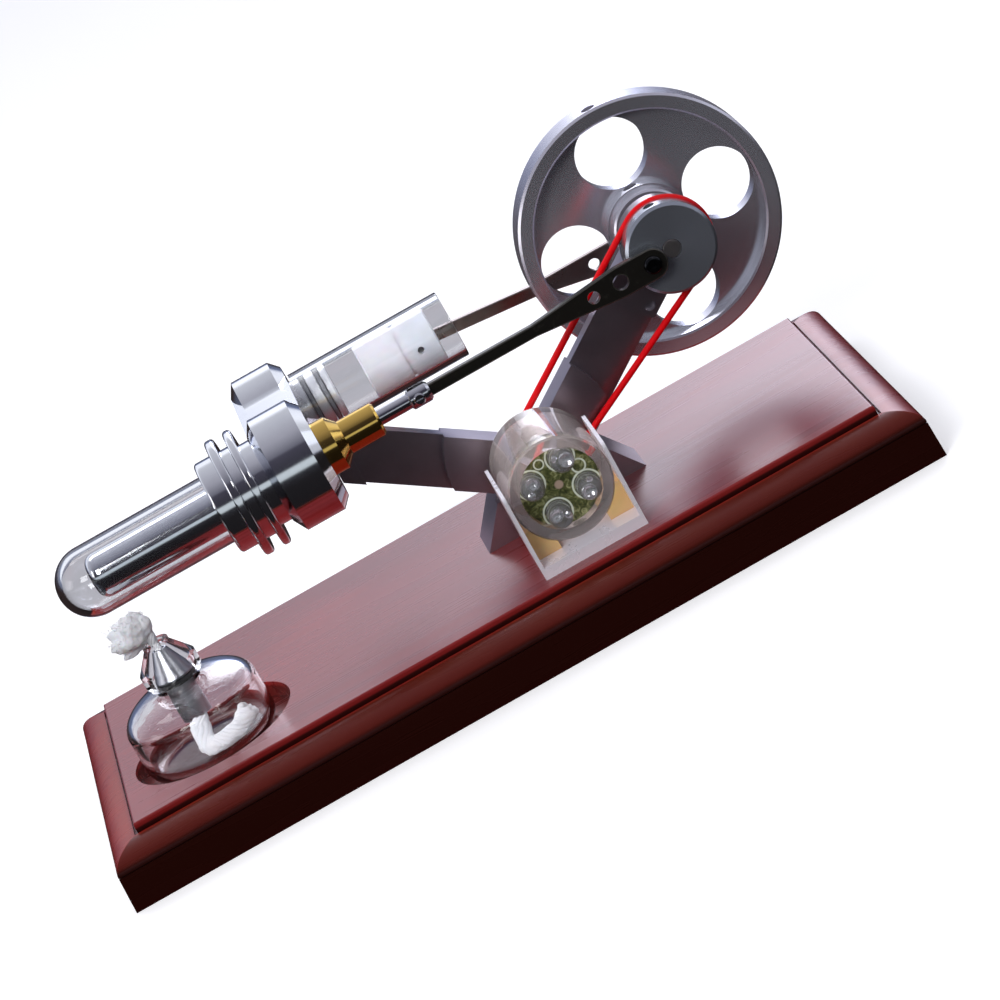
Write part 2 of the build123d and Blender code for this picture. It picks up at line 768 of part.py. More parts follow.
with BuildPart() as power_pin_spacer:
    add(
        turned_y(
            SHAFT_X,
            AXIS_Z - CRANK,
            [
                (FLYWHEEL_YS[1] + 0.35, 1.22),
                (FLYWHEEL_YS[1] + 0.35, PIN_SPACER_RADIUS),
                (POWER_Y - LINK_THICK / 2, PIN_SPACER_RADIUS),
                (POWER_Y - LINK_THICK / 2, 1.22),
            ],
        )
    )
finish(power_pin_spacer.part, "power_pin_spacer")

# ---------------------------------------------------------------- shaft and bearings

INNER_RACE = (SHAFT_RADIUS + 0.02, 2.75)
OUTER_RACE = (3.75, BEARING_RADIUS)
BALL_CIRCLE = 3.25
BALL_RADIUS = 0.62
BALL_COUNT = 8


def race_y(y_from, radii):
    """A bearing race on the shaft's axis, with the balls' track cut into it."""
    with BuildPart() as race:
        with BuildSketch(front(y_from)):
            with Locations((SHAFT_X, AXIS_Z)):
                Circle(radii[1])
                Circle(radii[0], mode=Mode.SUBTRACT)
        extrude(amount=-BEARING_WIDTH)
        with BuildSketch(side(SHAFT_X)):
            with Locations((y_from + BEARING_WIDTH / 2, AXIS_Z + BALL_CIRCLE)):
                Circle(BALL_RADIUS + 0.04)
        revolve(axis=Axis((SHAFT_X, 0, AXIS_Z), (0, 1, 0)), mode=Mode.SUBTRACT)
    return race.part


with BuildPart() as bearing_outer_races:
    for bearing_y in BEARING_YS:
        add(race_y(bearing_y, OUTER_RACE))
finish(bearing_outer_races.part, "bearing_outer_races")

with BuildPart() as bearing_inner_races:
    for bearing_y in BEARING_YS:
        add(race_y(bearing_y, INNER_RACE))
finish(bearing_inner_races.part, "bearing_inner_races")

with BuildPart() as bearing_balls:
    for bearing_y in BEARING_YS:
        race_middle = (SHAFT_X, bearing_y + BEARING_WIDTH / 2, AXIS_Z)
        ball_plane = Plane(origin=race_middle, x_dir=(1, 0, 0), z_dir=(0, -1, 0))
        with Locations(ball_plane):
            with PolarLocations(BALL_CIRCLE, BALL_COUNT):
                Sphere(BALL_RADIUS)
finish(bearing_balls.part, "bearing_balls")

with BuildPart() as main_shaft:
    add(rod_y(SHAFT_X, AXIS_Z, SHAFT_RADIUS, PULLEY_YS[0], FLYWHEEL_YS[1]))
    chamfer(edges().group_by(Axis.Y)[0] + edges().group_by(Axis.Y)[-1], 0.25)
finish(main_shaft.part, "main_shaft")

with BuildPart() as shaft_spacers:
    front_spacer = ((PULLEY_YS[1], BEARING_YS[0]), 2.6)
    rear_spacer = ((PAD_Y + PAD_THICK, HUB_FRONT), 3.0)
    for spacer_ys, spacer_radius in (front_spacer, rear_spacer):
        with BuildSketch(front(spacer_ys[0])):
            with Locations((SHAFT_X, AXIS_Z)):
                Circle(spacer_radius)
                Circle(SHAFT_RADIUS + 0.02, mode=Mode.SUBTRACT)
        extrude(amount=-(spacer_ys[1] - spacer_ys[0]))
finish(shaft_spacers.part, "shaft_spacers")

# ---------------------------------------------------------------- flywheel and crank pulley

RIM_INNER = 24.6
WEB_FRONT = 19.5
HUB_RADIUS = 9.0
HUB_STEP_RADIUS = 8.2
HUB_STEP_Y = 16.0
LIGHTENING_CIRCLE = 16.8
LIGHTENING_RADIUS = 7.7
SET_SCREW_Y = 18.0
SET_SCREW_RADIUS = 1.5
SET_SCREW_LENGTH = 5.0

with BuildPart() as flywheel:
    add(
        turned_y(
            SHAFT_X,
            AXIS_Z,
            [
                (HUB_FRONT, SHAFT_RADIUS + 0.02),
                (HUB_FRONT, HUB_STEP_RADIUS - 0.4),
                (HUB_FRONT + 0.4, HUB_STEP_RADIUS),
                (HUB_STEP_Y, HUB_STEP_RADIUS),
                (HUB_STEP_Y, HUB_RADIUS),
                (WEB_FRONT, HUB_RADIUS),
                (WEB_FRONT, RIM_INNER),
                (FLYWHEEL_YS[0] + 0.4, RIM_INNER),
                (FLYWHEEL_YS[0], RIM_INNER + 0.4),
                (FLYWHEEL_YS[0], FLYWHEEL_RADIUS - 0.5),
                (FLYWHEEL_YS[0] + 0.5, FLYWHEEL_RADIUS),
                (FLYWHEEL_YS[1] - 0.5, FLYWHEEL_RADIUS),
                (FLYWHEEL_YS[1], FLYWHEEL_RADIUS - 0.5),
                (FLYWHEEL_YS[1], SHAFT_RADIUS + 0.02),
            ],
        )
    )
    with BuildSketch(front(WEB_FRONT)):
        with Locations((SHAFT_X, AXIS_Z)):
            with PolarLocations(LIGHTENING_CIRCLE, 4):
                Circle(LIGHTENING_RADIUS)
    extrude(amount=-(FLYWHEEL_YS[1] - WEB_FRONT), mode=Mode.SUBTRACT)
    with BuildSketch(Plane(origin=(SHAFT_X, SET_SCREW_Y, AXIS_Z), x_dir=(1, 0, 0), z_dir=(0, 0, 1))):
        Circle(SET_SCREW_RADIUS + 0.03)
    extrude(amount=FLYWHEEL_RADIUS + 1, mode=Mode.SUBTRACT)
    add(rod_y(SHAFT_X, AXIS_Z - CRANK, 1.25, FLYWHEEL_YS[1] - 5, FLYWHEEL_YS[1]), mode=Mode.SUBTRACT)
finish(flywheel.part, "flywheel")

with BuildPart() as flywheel_set_screw:
    screw_top = SHAFT_RADIUS + 0.1 + SET_SCREW_LENGTH
    add(
        set_screw(
            Plane(origin=(SHAFT_X, SET_SCREW_Y, AXIS_Z + screw_top), x_dir=(1, 0, 0), z_dir=(0, 0, 1)),
            SET_SCREW_RADIUS,
            SET_SCREW_LENGTH,
        )
    )
finish(flywheel_set_screw.part, "flywheel_set_screw")

with BuildPart() as crank_pulley:
    add(
        turned_y(
            SHAFT_X,
            AXIS_Z,
            [
                (PULLEY_YS[0], SHAFT_RADIUS + 0.02),
                (PULLEY_YS[0], PULLEY_RADIUS - 0.6),
                (PULLEY_YS[0] + 0.6, PULLEY_RADIUS),
                (PULLEY_YS[1], PULLEY_RADIUS),
                (PULLEY_YS[1], SHAFT_RADIUS + 0.02),
            ],
        )
    )
    with BuildSketch(side(SHAFT_X)):
        with Locations((BELT_Y, AXIS_Z + BELT_ON_CRANK)):
            Circle(BELT_RADIUS + 0.08)
    revolve(axis=Axis((SHAFT_X, 0, AXIS_Z), (0, 1, 0)), mode=Mode.SUBTRACT)
    add(rod_y(SHAFT_X - CRANK, AXIS_Z, 1.25, PULLEY_YS[0], PULLEY_YS[0] + 4), mode=Mode.SUBTRACT)
    with BuildSketch(Plane(origin=(SHAFT_X, -3.4, AXIS_Z), x_dir=(1, 0, 0), z_dir=(0, 0, 1))):
        Circle(1.28)
    extrude(amount=PULLEY_RADIUS + 1, mode=Mode.SUBTRACT)
finish(crank_pulley.part, "crank_pulley")

with BuildPart() as pulley_set_screw:
    add(
        set_screw(
            Plane(origin=(SHAFT_X, -3.4, AXIS_Z + SHAFT_RADIUS + 4.1), x_dir=(1, 0, 0), z_dir=(0, 0, 1)),
            1.25,
            4.0,
        )
    )
finish(pulley_set_screw.part, "pulley_set_screw")

# ---------------------------------------------------------------- belt

BELT_SPAN = hypot(SHAFT_X - GENERATOR_X, AXIS_Z - GENERATOR_Z)
BELT_SLOPE = degrees(atan2(AXIS_Z - GENERATOR_Z, SHAFT_X - GENERATOR_X))
CONTACT = degrees(acos(-(BELT_ON_CRANK - BELT_ON_GENERATOR) / BELT_SPAN))
UPPER_CONTACT = BELT_SLOPE + CONTACT
LOWER_CONTACT = BELT_SLOPE - CONTACT


def contact_point(x, z, radius, angle):
    """Where the belt's centre line meets a pulley."""
    return (x + radius * cos(radians(angle)), z + radius * sin(radians(angle)))


with BuildPart() as drive_belt:
    with BuildLine(front(BELT_Y)) as belt_path:
        around_crank = CenterArc((SHAFT_X, AXIS_Z), BELT_ON_CRANK, LOWER_CONTACT, 2 * CONTACT)
        Line(
            contact_point(SHAFT_X, AXIS_Z, BELT_ON_CRANK, UPPER_CONTACT),
            contact_point(GENERATOR_X, GENERATOR_Z, BELT_ON_GENERATOR, UPPER_CONTACT),
        )
        CenterArc((GENERATOR_X, GENERATOR_Z), BELT_ON_GENERATOR, UPPER_CONTACT, 360 - 2 * CONTACT)
        Line(
            contact_point(GENERATOR_X, GENERATOR_Z, BELT_ON_GENERATOR, LOWER_CONTACT),
            contact_point(SHAFT_X, AXIS_Z, BELT_ON_CRANK, LOWER_CONTACT),
        )
    with BuildSketch(Plane(origin=around_crank @ 0, z_dir=around_crank % 0)):
        Circle(BELT_RADIUS)
    sweep()
finish(drive_belt.part, "drive_belt")

# ---------------------------------------------------------------- generator


def sleeve_y(x, z, outer, inner, y_from, y_to):
    """A plain tube along Y."""
    with BuildPart() as sleeve:
        with BuildSketch(front(y_from)):
            with Locations((x, z)):
                Circle(outer)
                Circle(inner, mode=Mode.SUBTRACT)
        extrude(amount=-(y_to - y_from))
    return sleeve.part


HOUSING_BACK = 2.0
CAN_YS = (-20.5, -6.3)
CAN_RADIUS = 8.2
CAN_WALL = 0.8
GENERATOR_SHAFT = 1.0
END_CAP_BACK = -18.7
MAGNET_YS = (-18.0, -9.0)
ARMATURE_YS = (-16.5, -10.5)
ARMATURE_RADIUS = 5.9

with BuildPart() as clear_housing:
    back_y = HOUSING_YS[1] - HOUSING_BACK
    add(sleeve_y(GENERATOR_X, GENERATOR_Z, HOUSING_RADIUS, HOUSING_BORE, HOUSING_YS[0], back_y))
    add(sleeve_y(GENERATOR_X, GENERATOR_Z, HOUSING_RADIUS, 2.5, HOUSING_YS[1] - HOUSING_BACK, HOUSING_YS[1]))
    chamfer(edges().group_by(Axis.Y)[0].sort_by(SortBy.RADIUS)[-1], 0.4)
finish(clear_housing.part, "clear_housing")

with BuildPart() as generator_can:
    can_back_y = CAN_YS[1] - CAN_WALL
    add(sleeve_y(GENERATOR_X, GENERATOR_Z, CAN_RADIUS, CAN_RADIUS - CAN_WALL, CAN_YS[0], can_back_y))
    add(sleeve_y(GENERATOR_X, GENERATOR_Z, CAN_RADIUS, GENERATOR_SHAFT + FIT, can_back_y, CAN_YS[1]))
finish(generator_can.part, "generator_can")

with BuildPart() as generator_end_cap:
    add(
        sleeve_y(
            GENERATOR_X,
            GENERATOR_Z,
            CAN_RADIUS - CAN_WALL - 0.02,
            GENERATOR_SHAFT + FIT,
            CAN_YS[0],
            END_CAP_BACK,
        )
    )
finish(generator_end_cap.part, "generator_end_cap")

with BuildPart() as generator_magnets:
    with BuildSketch(front(MAGNET_YS[0])):
        with Locations((GENERATOR_X, GENERATOR_Z)):
            Circle(CAN_RADIUS - CAN_WALL - 0.03)
            Circle(ARMATURE_RADIUS + 0.35, mode=Mode.SUBTRACT)
            Rectangle(7.0, 20.0, mode=Mode.SUBTRACT)
    extrude(amount=-(MAGNET_YS[1] - MAGNET_YS[0]))
finish(generator_magnets.part, "generator_magnets")

with BuildPart() as generator_armature:
    with BuildSketch(front(ARMATURE_YS[0])):
        with Locations((GENERATOR_X, GENERATOR_Z)):
            Circle(ARMATURE_RADIUS)
            Circle(GENERATOR_SHAFT + 0.02, mode=Mode.SUBTRACT)
            with PolarLocations(3.7, 3):
                Circle(1.65, mode=Mode.SUBTRACT)
                with Locations((1.6, 0)):
                    Rectangle(2.4, 0.8, mode=Mode.SUBTRACT)
    extrude(amount=-(ARMATURE_YS[1] - ARMATURE_YS[0]))
finish(generator_armature.part, "generator_armature")

with BuildPart() as armature_windings:
    with BuildSketch(front(ARMATURE_YS[0] - 0.8)):
        with Locations((GENERATOR_X, GENERATOR_Z)):
            with PolarLocations(3.7, 3):
                Circle(1.6)
    extrude(amount=-(ARMATURE_YS[1] - ARMATURE_YS[0] + 1.6))
finish(armature_windings.part, "armature_windings")

with BuildPart() as commutator:
    add(sleeve_y(GENERATOR_X, GENERATOR_Z, 1.8, GENERATOR_SHAFT + 0.02, -18.5, ARMATURE_YS[0] - 0.9))
finish(commutator.part, "commutator")

with BuildPart() as generator_brushes:
    with BuildSketch(front(END_CAP_BACK)):
        with Locations((GENERATOR_X - 2.1, GENERATOR_Z), (GENERATOR_X + 2.1, GENERATOR_Z)):
            Rectangle(0.4, 3.6)
    extrude(amount=-1.2)
finish(generator_brushes.part, "generator_brushes")

with BuildPart() as generator_shaft:
    add(rod_y(GENERATOR_X, GENERATOR_Z, GENERATOR_SHAFT, CAN_YS[0], 0.9))
finish(generator_shaft.part, "generator_shaft")

with BuildPart() as small_pulley:
    with BuildSketch(front(-1.5)):
        with Locations((GENERATOR_X, GENERATOR_Z)):
            Circle(7.2)
            Circle(GENERATOR_SHAFT + 0.02, mode=Mode.SUBTRACT)
    extrude(amount=-2.4)
    with BuildSketch(side(GENERATOR_X)):
        with Locations((BELT_Y, GENERATOR_Z + BELT_ON_GENERATOR)):
            Circle(BELT_RADIUS + 0.08)
            Rectangle(2 * BELT_RADIUS + 0.16, 2.0, align=(Align.CENTER, Align.MIN))
    revolve(axis=Axis((GENERATOR_X, 0, GENERATOR_Z), (0, 1, 0)), mode=Mode.SUBTRACT)
finish(small_pulley.part, "small_pulley")

with BuildPart() as lamp_board:
    with BuildSketch(front(BOARD_YS[0])):
        with Locations((GENERATOR_X, GENERATOR_Z)):
            Circle(HOUSING_BORE - 0.06)
    extrude(amount=-(BOARD_YS[1] - BOARD_YS[0]))
finish(lamp_board.part, "lamp_board")

LAMP_RADIUS = 2.5


def lamp(angle):
    """A round 5 mm lamp on the board, with its flange and domed end."""
    lamp_x = GENERATOR_X + LAMP_CIRCLE * cos(radians(angle))
    lamp_z = GENERATOR_Z + LAMP_CIRCLE * sin(radians(angle))
    with BuildPart() as body:
        add(rod_y(lamp_x, lamp_z, LAMP_RADIUS + 0.15, BOARD_YS[0] - 0.9, BOARD_YS[0]))
        add(rod_y(lamp_x, lamp_z, LAMP_RADIUS, BOARD_YS[0] - 3.0, BOARD_YS[0]))
        with Locations((lamp_x, BOARD_YS[0] - 3.0, lamp_z)):
            Sphere(LAMP_RADIUS)
    return body.part


with BuildPart() as lamps:
    for lamp_angle in LAMP_ANGLES:
        add(lamp(lamp_angle))
finish(lamps.part, "lamps")

with BuildPart() as lamp_leads:
    with BuildSketch(front(BOARD_YS[1])):
        with Locations((GENERATOR_X, GENERATOR_Z)):
            for lamp_angle in LAMP_ANGLES:
                for lead_offset in (-1.27, 1.27):
                    spread = degrees(atan2(lead_offset, LAMP_CIRCLE))
                    with Locations(
                        (
                            LAMP_CIRCLE * cos(radians(lamp_angle + spread)),
                            LAMP_CIRCLE * sin(radians(lamp_angle + spread)),
                        )
                    ):
                        Circle(0.3)
    extrude(amount=-1.5)
finish(lamp_leads.part, "lamp_leads")

with BuildPart() as generator_wires:
    with BuildSketch(front(BOARD_YS[1])):
        with Locations((GENERATOR_X - 2.0, GENERATOR_Z), (GENERATOR_X + 2.0, GENERATOR_Z)):
            Circle(0.45)
    extrude(amount=-(CAN_YS[0] - BOARD_YS[1]))
finish(generator_wires.part, "generator_wires")

with BuildPart() as generator_cradle:
    with BuildSketch(front(CRADLE_YS[0])):
        with Locations((GENERATOR_X, BASE_TOP)):
            Rectangle(2 * CRADLE_HALF_WIDTH, CRADLE_TOP - BASE_TOP, align=(Align.CENTER, Align.MIN))
        with Locations((GENERATOR_X, BASE_TOP + CRADLE_FLOOR)):
            Rectangle(
                2 * (CRADLE_HALF_WIDTH - CRADLE_WALL),
                CRADLE_TOP - BASE_TOP,
                align=(Align.CENTER, Align.MIN),
                mode=Mode.SUBTRACT,
            )
    extrude(amount=-(CRADLE_YS[1] - CRADLE_YS[0]))
    wall_tops = edges().filter_by(Axis.X).group_by(Axis.Z)[-1]
    fillet(wall_tops.group_by(Axis.Y)[-1], 3.0)
    wall_tops = edges().filter_by(Axis.X).group_by(Axis.Z)[-1]
    fillet(wall_tops.group_by(Axis.Y)[0], 1.2)
    for screw_y in (-23.0, -13.0):
        add(
            turned_z(
                GENERATOR_X,
                screw_y,
                [
                    (0, BASE_TOP),
                    (1.05, BASE_TOP),
                    (1.05, BASE_TOP + 1.15),
                    (2.0, BASE_TOP + 2.2),
                    (2.0, BASE_TOP + CRADLE_FLOOR),
                    (0, BASE_TOP + CRADLE_FLOOR),
                ],
            ),
            mode=Mode.SUBTRACT,
        )
finish(generator_cradle.part, "generator_cradle")

WEDGE_HALF_GAP = 5.7
WEDGE_TOP = BASE_TOP + 8.8

with BuildPart() as cradle_wedges:
    with BuildSketch(front(HOUSING_YS[0])):
        for wedge_side in (-1, 1):
            wedge_outer = CRADLE_HALF_WIDTH - CRADLE_WALL
            wedge_x = GENERATOR_X + wedge_side * (wedge_outer + WEDGE_HALF_GAP) / 2
            with Locations((wedge_x, BASE_TOP + CRADLE_FLOOR)):
                Rectangle(
                    wedge_outer - WEDGE_HALF_GAP,
                    WEDGE_TOP - BASE_TOP - CRADLE_FLOOR,
                    align=(Align.CENTER, Align.MIN),
                )
        with Locations((GENERATOR_X, GENERATOR_Z)):
            Circle(HOUSING_RADIUS + 0.02, mode=Mode.SUBTRACT)
    extrude(amount=-(CRADLE_YS[1] - HOUSING_YS[0]))
finish(cradle_wedges.part, "cradle_wedges")

# ---------------------------------------------------------------- spirit burner


def burner_turned(outline):
    """A body turned about the burner's axis, from (radius, height above the bottle's foot) corners."""
    return turned_z(BURNER_X, BURNER_Y, [(radius, BOTTLE_FLOOR + height) for radius, height in outline])


SHOULDER_HEIGHT = 10.9
SHOULDER_RISE = 5.6
INNER_RISE = 4.2
MOUTH_RADIUS = 3.4
NECK_RADIUS = 5.0
NECK_TOP = 17.7

BOTTLE_WALL = 1.4
BOTTLE_BOTTOM = 1.8
FOOT_ROUND = 3.5
INNER_ROUND = 2.5
BOTTLE_INSIDE = BOTTLE_RADIUS - BOTTLE_WALL
BOTTLE_PLANE = Plane(origin=(BURNER_X, BURNER_Y, BOTTLE_FLOOR), x_dir=(1, 0, 0), z_dir=(0, -1, 0))

with BuildPart() as burner_bottle:
    with BuildSketch(BOTTLE_PLANE):
        with BuildLine():
            Polyline((0, BOTTLE_BOTTOM), (0, 0), (BOTTLE_RADIUS - FOOT_ROUND, 0))
            CenterArc((BOTTLE_RADIUS - FOOT_ROUND, FOOT_ROUND), FOOT_ROUND, -90, 90)
            Line((BOTTLE_RADIUS, FOOT_ROUND), (BOTTLE_RADIUS, SHOULDER_HEIGHT))
            EllipticalCenterArc(
                (NECK_RADIUS, SHOULDER_HEIGHT), BOTTLE_RADIUS - NECK_RADIUS, SHOULDER_RISE, 0, arc_size=90
            )
            Polyline(
                (NECK_RADIUS, SHOULDER_HEIGHT + SHOULDER_RISE),
                (NECK_RADIUS, NECK_TOP),
                (MOUTH_RADIUS, NECK_TOP),
                (MOUTH_RADIUS, SHOULDER_HEIGHT + INNER_RISE),
            )
            EllipticalCenterArc(
                (MOUTH_RADIUS, SHOULDER_HEIGHT), BOTTLE_INSIDE - MOUTH_RADIUS, INNER_RISE, 0, arc_size=90
            )
            Line((BOTTLE_INSIDE, SHOULDER_HEIGHT), (BOTTLE_INSIDE, BOTTLE_BOTTOM + INNER_ROUND))
            CenterArc((BOTTLE_INSIDE - INNER_ROUND, BOTTLE_BOTTOM + INNER_ROUND), INNER_ROUND, -90, 90)
            Line((BOTTLE_INSIDE - INNER_ROUND, BOTTLE_BOTTOM), (0, BOTTLE_BOTTOM))
        make_face()
    revolve(axis=Axis((BURNER_X, BURNER_Y, 0), (0, 0, 1)))
finish(burner_bottle.part, "burner_bottle")

with BuildPart() as burner_seal:
    add(burner_turned([(3.2, 17.75), (4.3, 17.75), (4.3, 18.5), (3.2, 18.5)]))
finish(burner_seal.part, "burner_seal")

with BuildPart() as wick_holder:
    add(
        burner_turned(
            [
                (2.6, 9.3),
                (3.15, 9.3),
                (3.15, 18.55),
                (4.2, 18.55),
                (4.2, 18.9),
                (1.55, 24.8),
                (1.2, 24.8),
                (1.2, 23.9),
                (2.6, 18.9),
            ]
        )
    )
finish(wick_holder.part, "wick_holder")

with BuildPart() as burner_hood:
    add(
        burner_turned(
            [
                (4.6, 17.75),
                (5.9, 17.75),
                (6.3, 18.6),
                (6.3, 21.4),
                (2.9, 25.8),
                (2.9, 26.6),
                (1.8, 26.6),
                (1.8, 25.4),
                (4.6, 20.8),
            ]
        )
    )
finish(burner_hood.part, "burner_hood")

WICK_HEAD_X = -67.0
WICK_HEAD_HEIGHT = 30.8
WICK_HEAD_HALF = 3.6
WICK_HEAD_RADIUS = 3.9


def wick_head():
    """The frayed top of the wick as an egg that leans towards the bottle's outer side."""
    head_centre = (WICK_HEAD_X, BURNER_Y, BOTTLE_FLOOR + WICK_HEAD_HEIGHT)
    head_plane = Plane(origin=head_centre, x_dir=(1, 0, 0), z_dir=(0, -1, 0))
    with BuildPart() as head:
        with BuildSketch(head_plane):
            with BuildLine():
                Line((0, -WICK_HEAD_HALF), (0, WICK_HEAD_HALF))
                ThreePointArc((0, WICK_HEAD_HALF), (WICK_HEAD_RADIUS, 0), (0, -WICK_HEAD_HALF))
            make_face()
        revolve(axis=Axis((WICK_HEAD_X, BURNER_Y, 0), (0, 0, 1)))
    return head.part


with BuildPart() as wick:
    add(burner_turned([(0, 2.2), (2.4, 2.2), (2.4, 18.8), (1.0, 23.9), (1.0, 28.5), (0, 28.5)]))
    with BuildSketch(side(BURNER_X)):
        with Locations((BURNER_Y, BOTTLE_FLOOR + 4.4)):
            Circle(2.2)
    extrude(amount=10.5)
    add(wick_head())
finish(wick.part, "wick")
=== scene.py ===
import math
import random

import bpy
from mathutils import Matrix, Vector, noise


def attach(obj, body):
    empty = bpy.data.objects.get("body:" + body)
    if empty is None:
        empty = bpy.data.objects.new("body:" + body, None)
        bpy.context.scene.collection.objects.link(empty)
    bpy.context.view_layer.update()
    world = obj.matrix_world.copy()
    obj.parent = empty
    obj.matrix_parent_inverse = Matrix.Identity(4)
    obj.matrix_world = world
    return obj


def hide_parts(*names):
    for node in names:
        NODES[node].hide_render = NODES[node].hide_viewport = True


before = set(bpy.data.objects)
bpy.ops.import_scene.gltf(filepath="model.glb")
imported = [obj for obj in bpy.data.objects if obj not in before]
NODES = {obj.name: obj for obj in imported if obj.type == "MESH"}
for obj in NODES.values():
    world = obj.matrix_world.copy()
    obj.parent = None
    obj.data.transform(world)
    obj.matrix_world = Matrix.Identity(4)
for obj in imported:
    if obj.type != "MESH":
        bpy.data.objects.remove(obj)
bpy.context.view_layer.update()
MM = 0.001

# ---------------------------------------------------------------- node helpers


class Look:
    """A material with one Principled shader and short calls for the nodes behind it."""

    def __init__(self, name, **sockets):
        self.material = bpy.data.materials.new(name)
        self.material.use_nodes = True
        self.tree = self.material.node_tree
        self.tree.nodes.clear()
        self.output = self.add("ShaderNodeOutputMaterial")
        self.shader = self.add("ShaderNodeBsdfPrincipled")
        self.tree.links.new(self.shader.outputs[0], self.output.inputs["Surface"])
        self.place = self.add("ShaderNodeTexCoord").outputs["Object"]
        self.fix(**sockets)

    def add(self, kind, **props):
        made = self.tree.nodes.new(kind)
        for key, value in props.items():
            setattr(made, key, value)
        return made

    def fix(self, **sockets):
        for key, value in sockets.items():
            socket = self.shader.inputs[key.replace("_", " ")]
            if hasattr(value, "is_linked"):
                self.tree.links.new(value, socket)
            else:
                is_color = isinstance(value, tuple) and len(value) == 3
                socket.default_value = (*value, 1.0) if is_color else value

    def feed(self, socket, value):
        if hasattr(value, "is_linked"):
            self.tree.links.new(value, socket)
        elif isinstance(value, tuple) and socket.type == "RGBA":
            socket.default_value = (*value, 1.0)
        else:
            socket.default_value = value

    def math(self, operation, *values, clamp=False):
        made = self.add("ShaderNodeMath", operation=operation, use_clamp=clamp)
        for socket, value in zip(made.inputs, values):
            self.feed(socket, value)
        return made.outputs[0]

    def vector(self, operation, *values):
        made = self.add("ShaderNodeVectorMath", operation=operation)
        for socket, value in zip(made.inputs, values):
            self.feed(socket, value)
        is_number = operation in ("LENGTH", "DISTANCE", "DOT_PRODUCT")
        return made.outputs["Value"] if is_number else made.outputs[0]

    def split(self):
        made = self.add("ShaderNodeSeparateXYZ")
        self.feed(made.inputs[0], self.place)
        return made.outputs

    def noise(self, scale, detail=3.0, roughness=0.5, vector=None, distortion=0.0, along=None):
        made = self.add("ShaderNodeTexNoise", noise_dimensions="1D" if along is not None else "3D")
        if along is not None:
            self.feed(made.inputs["W"], along)
        else:
            self.feed(made.inputs["Vector"], self.place if vector is None else vector)
        made.inputs["Scale"].default_value = scale
        made.inputs["Detail"].default_value = detail
        made.inputs["Roughness"].default_value = roughness
        made.inputs["Distortion"].default_value = distortion
        return made.outputs["Fac"]

    def stretch(self, *factors):
        return self.vector("MULTIPLY", self.place, tuple(factors))

    def ramp(self, fac, *stops):
        """A colour ramp through (position, colour) stops."""
        made = self.add("ShaderNodeValToRGB")
        elements = made.color_ramp.elements
        while len(elements) < len(stops):
            elements.new(0.5)
        for element, (position, color) in zip(elements, stops):
            element.position = position
            element.color = (*color, 1.0)
        self.feed(made.inputs[0], fac)
        return made.outputs[0]

    def span(self, value, low, high, to_low=0.0, to_high=1.0):
        """Ease from to_low to to_high as the value goes from low to high."""
        made = self.add("ShaderNodeMapRange", interpolation_type="SMOOTHSTEP")
        for socket, number in zip(made.inputs, (value, low, high, to_low, to_high)):
            self.feed(socket, number)
        return made.outputs[0]

    def mix(self, fac, first, second):
        made = self.add("ShaderNodeMix", data_type="RGBA")
        self.feed(made.inputs["Factor"], fac)
        for name, color in (("A", first), ("B", second)):
            sockets = [socket for socket in made.inputs if socket.name == name and socket.type == "RGBA"]
            self.feed(sockets[0], color)
        return next(socket for socket in made.outputs if socket.type == "RGBA")

    def bump(self, height, strength, distance):
        made = self.add("ShaderNodeBump")
        made.inputs["Strength"].default_value = strength
        made.inputs["Distance"].default_value = distance
        self.feed(made.inputs["Height"], height)
        return made.outputs[0]

    def lets_light_through(self, tint=(1.0, 1.0, 1.0)):
        """Rays from lamps pass straight through, so that what is inside is lit."""
        path = self.add("ShaderNodeLightPath")
        clear = self.add("ShaderNodeBsdfTransparent")
        clear.inputs[0].default_value = (*tint, 1.0)
        both = self.add("ShaderNodeMixShader")
        self.tree.links.new(path.outputs["Is Shadow Ray"], both.inputs[0])
        self.tree.links.new(self.shader.outputs[0], both.inputs[1])
        self.tree.links.new(clear.outputs[0], both.inputs[2])
        self.tree.links.new(both.outputs[0], self.output.inputs["Surface"])


def scaled(color, factor):
    return tuple(min(1.0, c * factor) for c in color)


def around(look, axis, centre):
    """(distance from the axis, place along it) for a piece turned about an axis along x or y."""
    x, y, z = look.split()
    along = x if axis == "X" else y
    first = look.math("SUBTRACT", y if axis == "X" else x, centre[0])
    second = look.math("SUBTRACT", z, centre[1])
    squares = look.math("ADD", look.math("MULTIPLY", first, first), look.math("MULTIPLY", second, second))
    return look.math("SQRT", squares), along


TOOL_MARK_DEPTH = 0.02 * MM
WAVE_DEPTH = 0.4 * MM
SKIN_DEPTH = 0.04 * MM


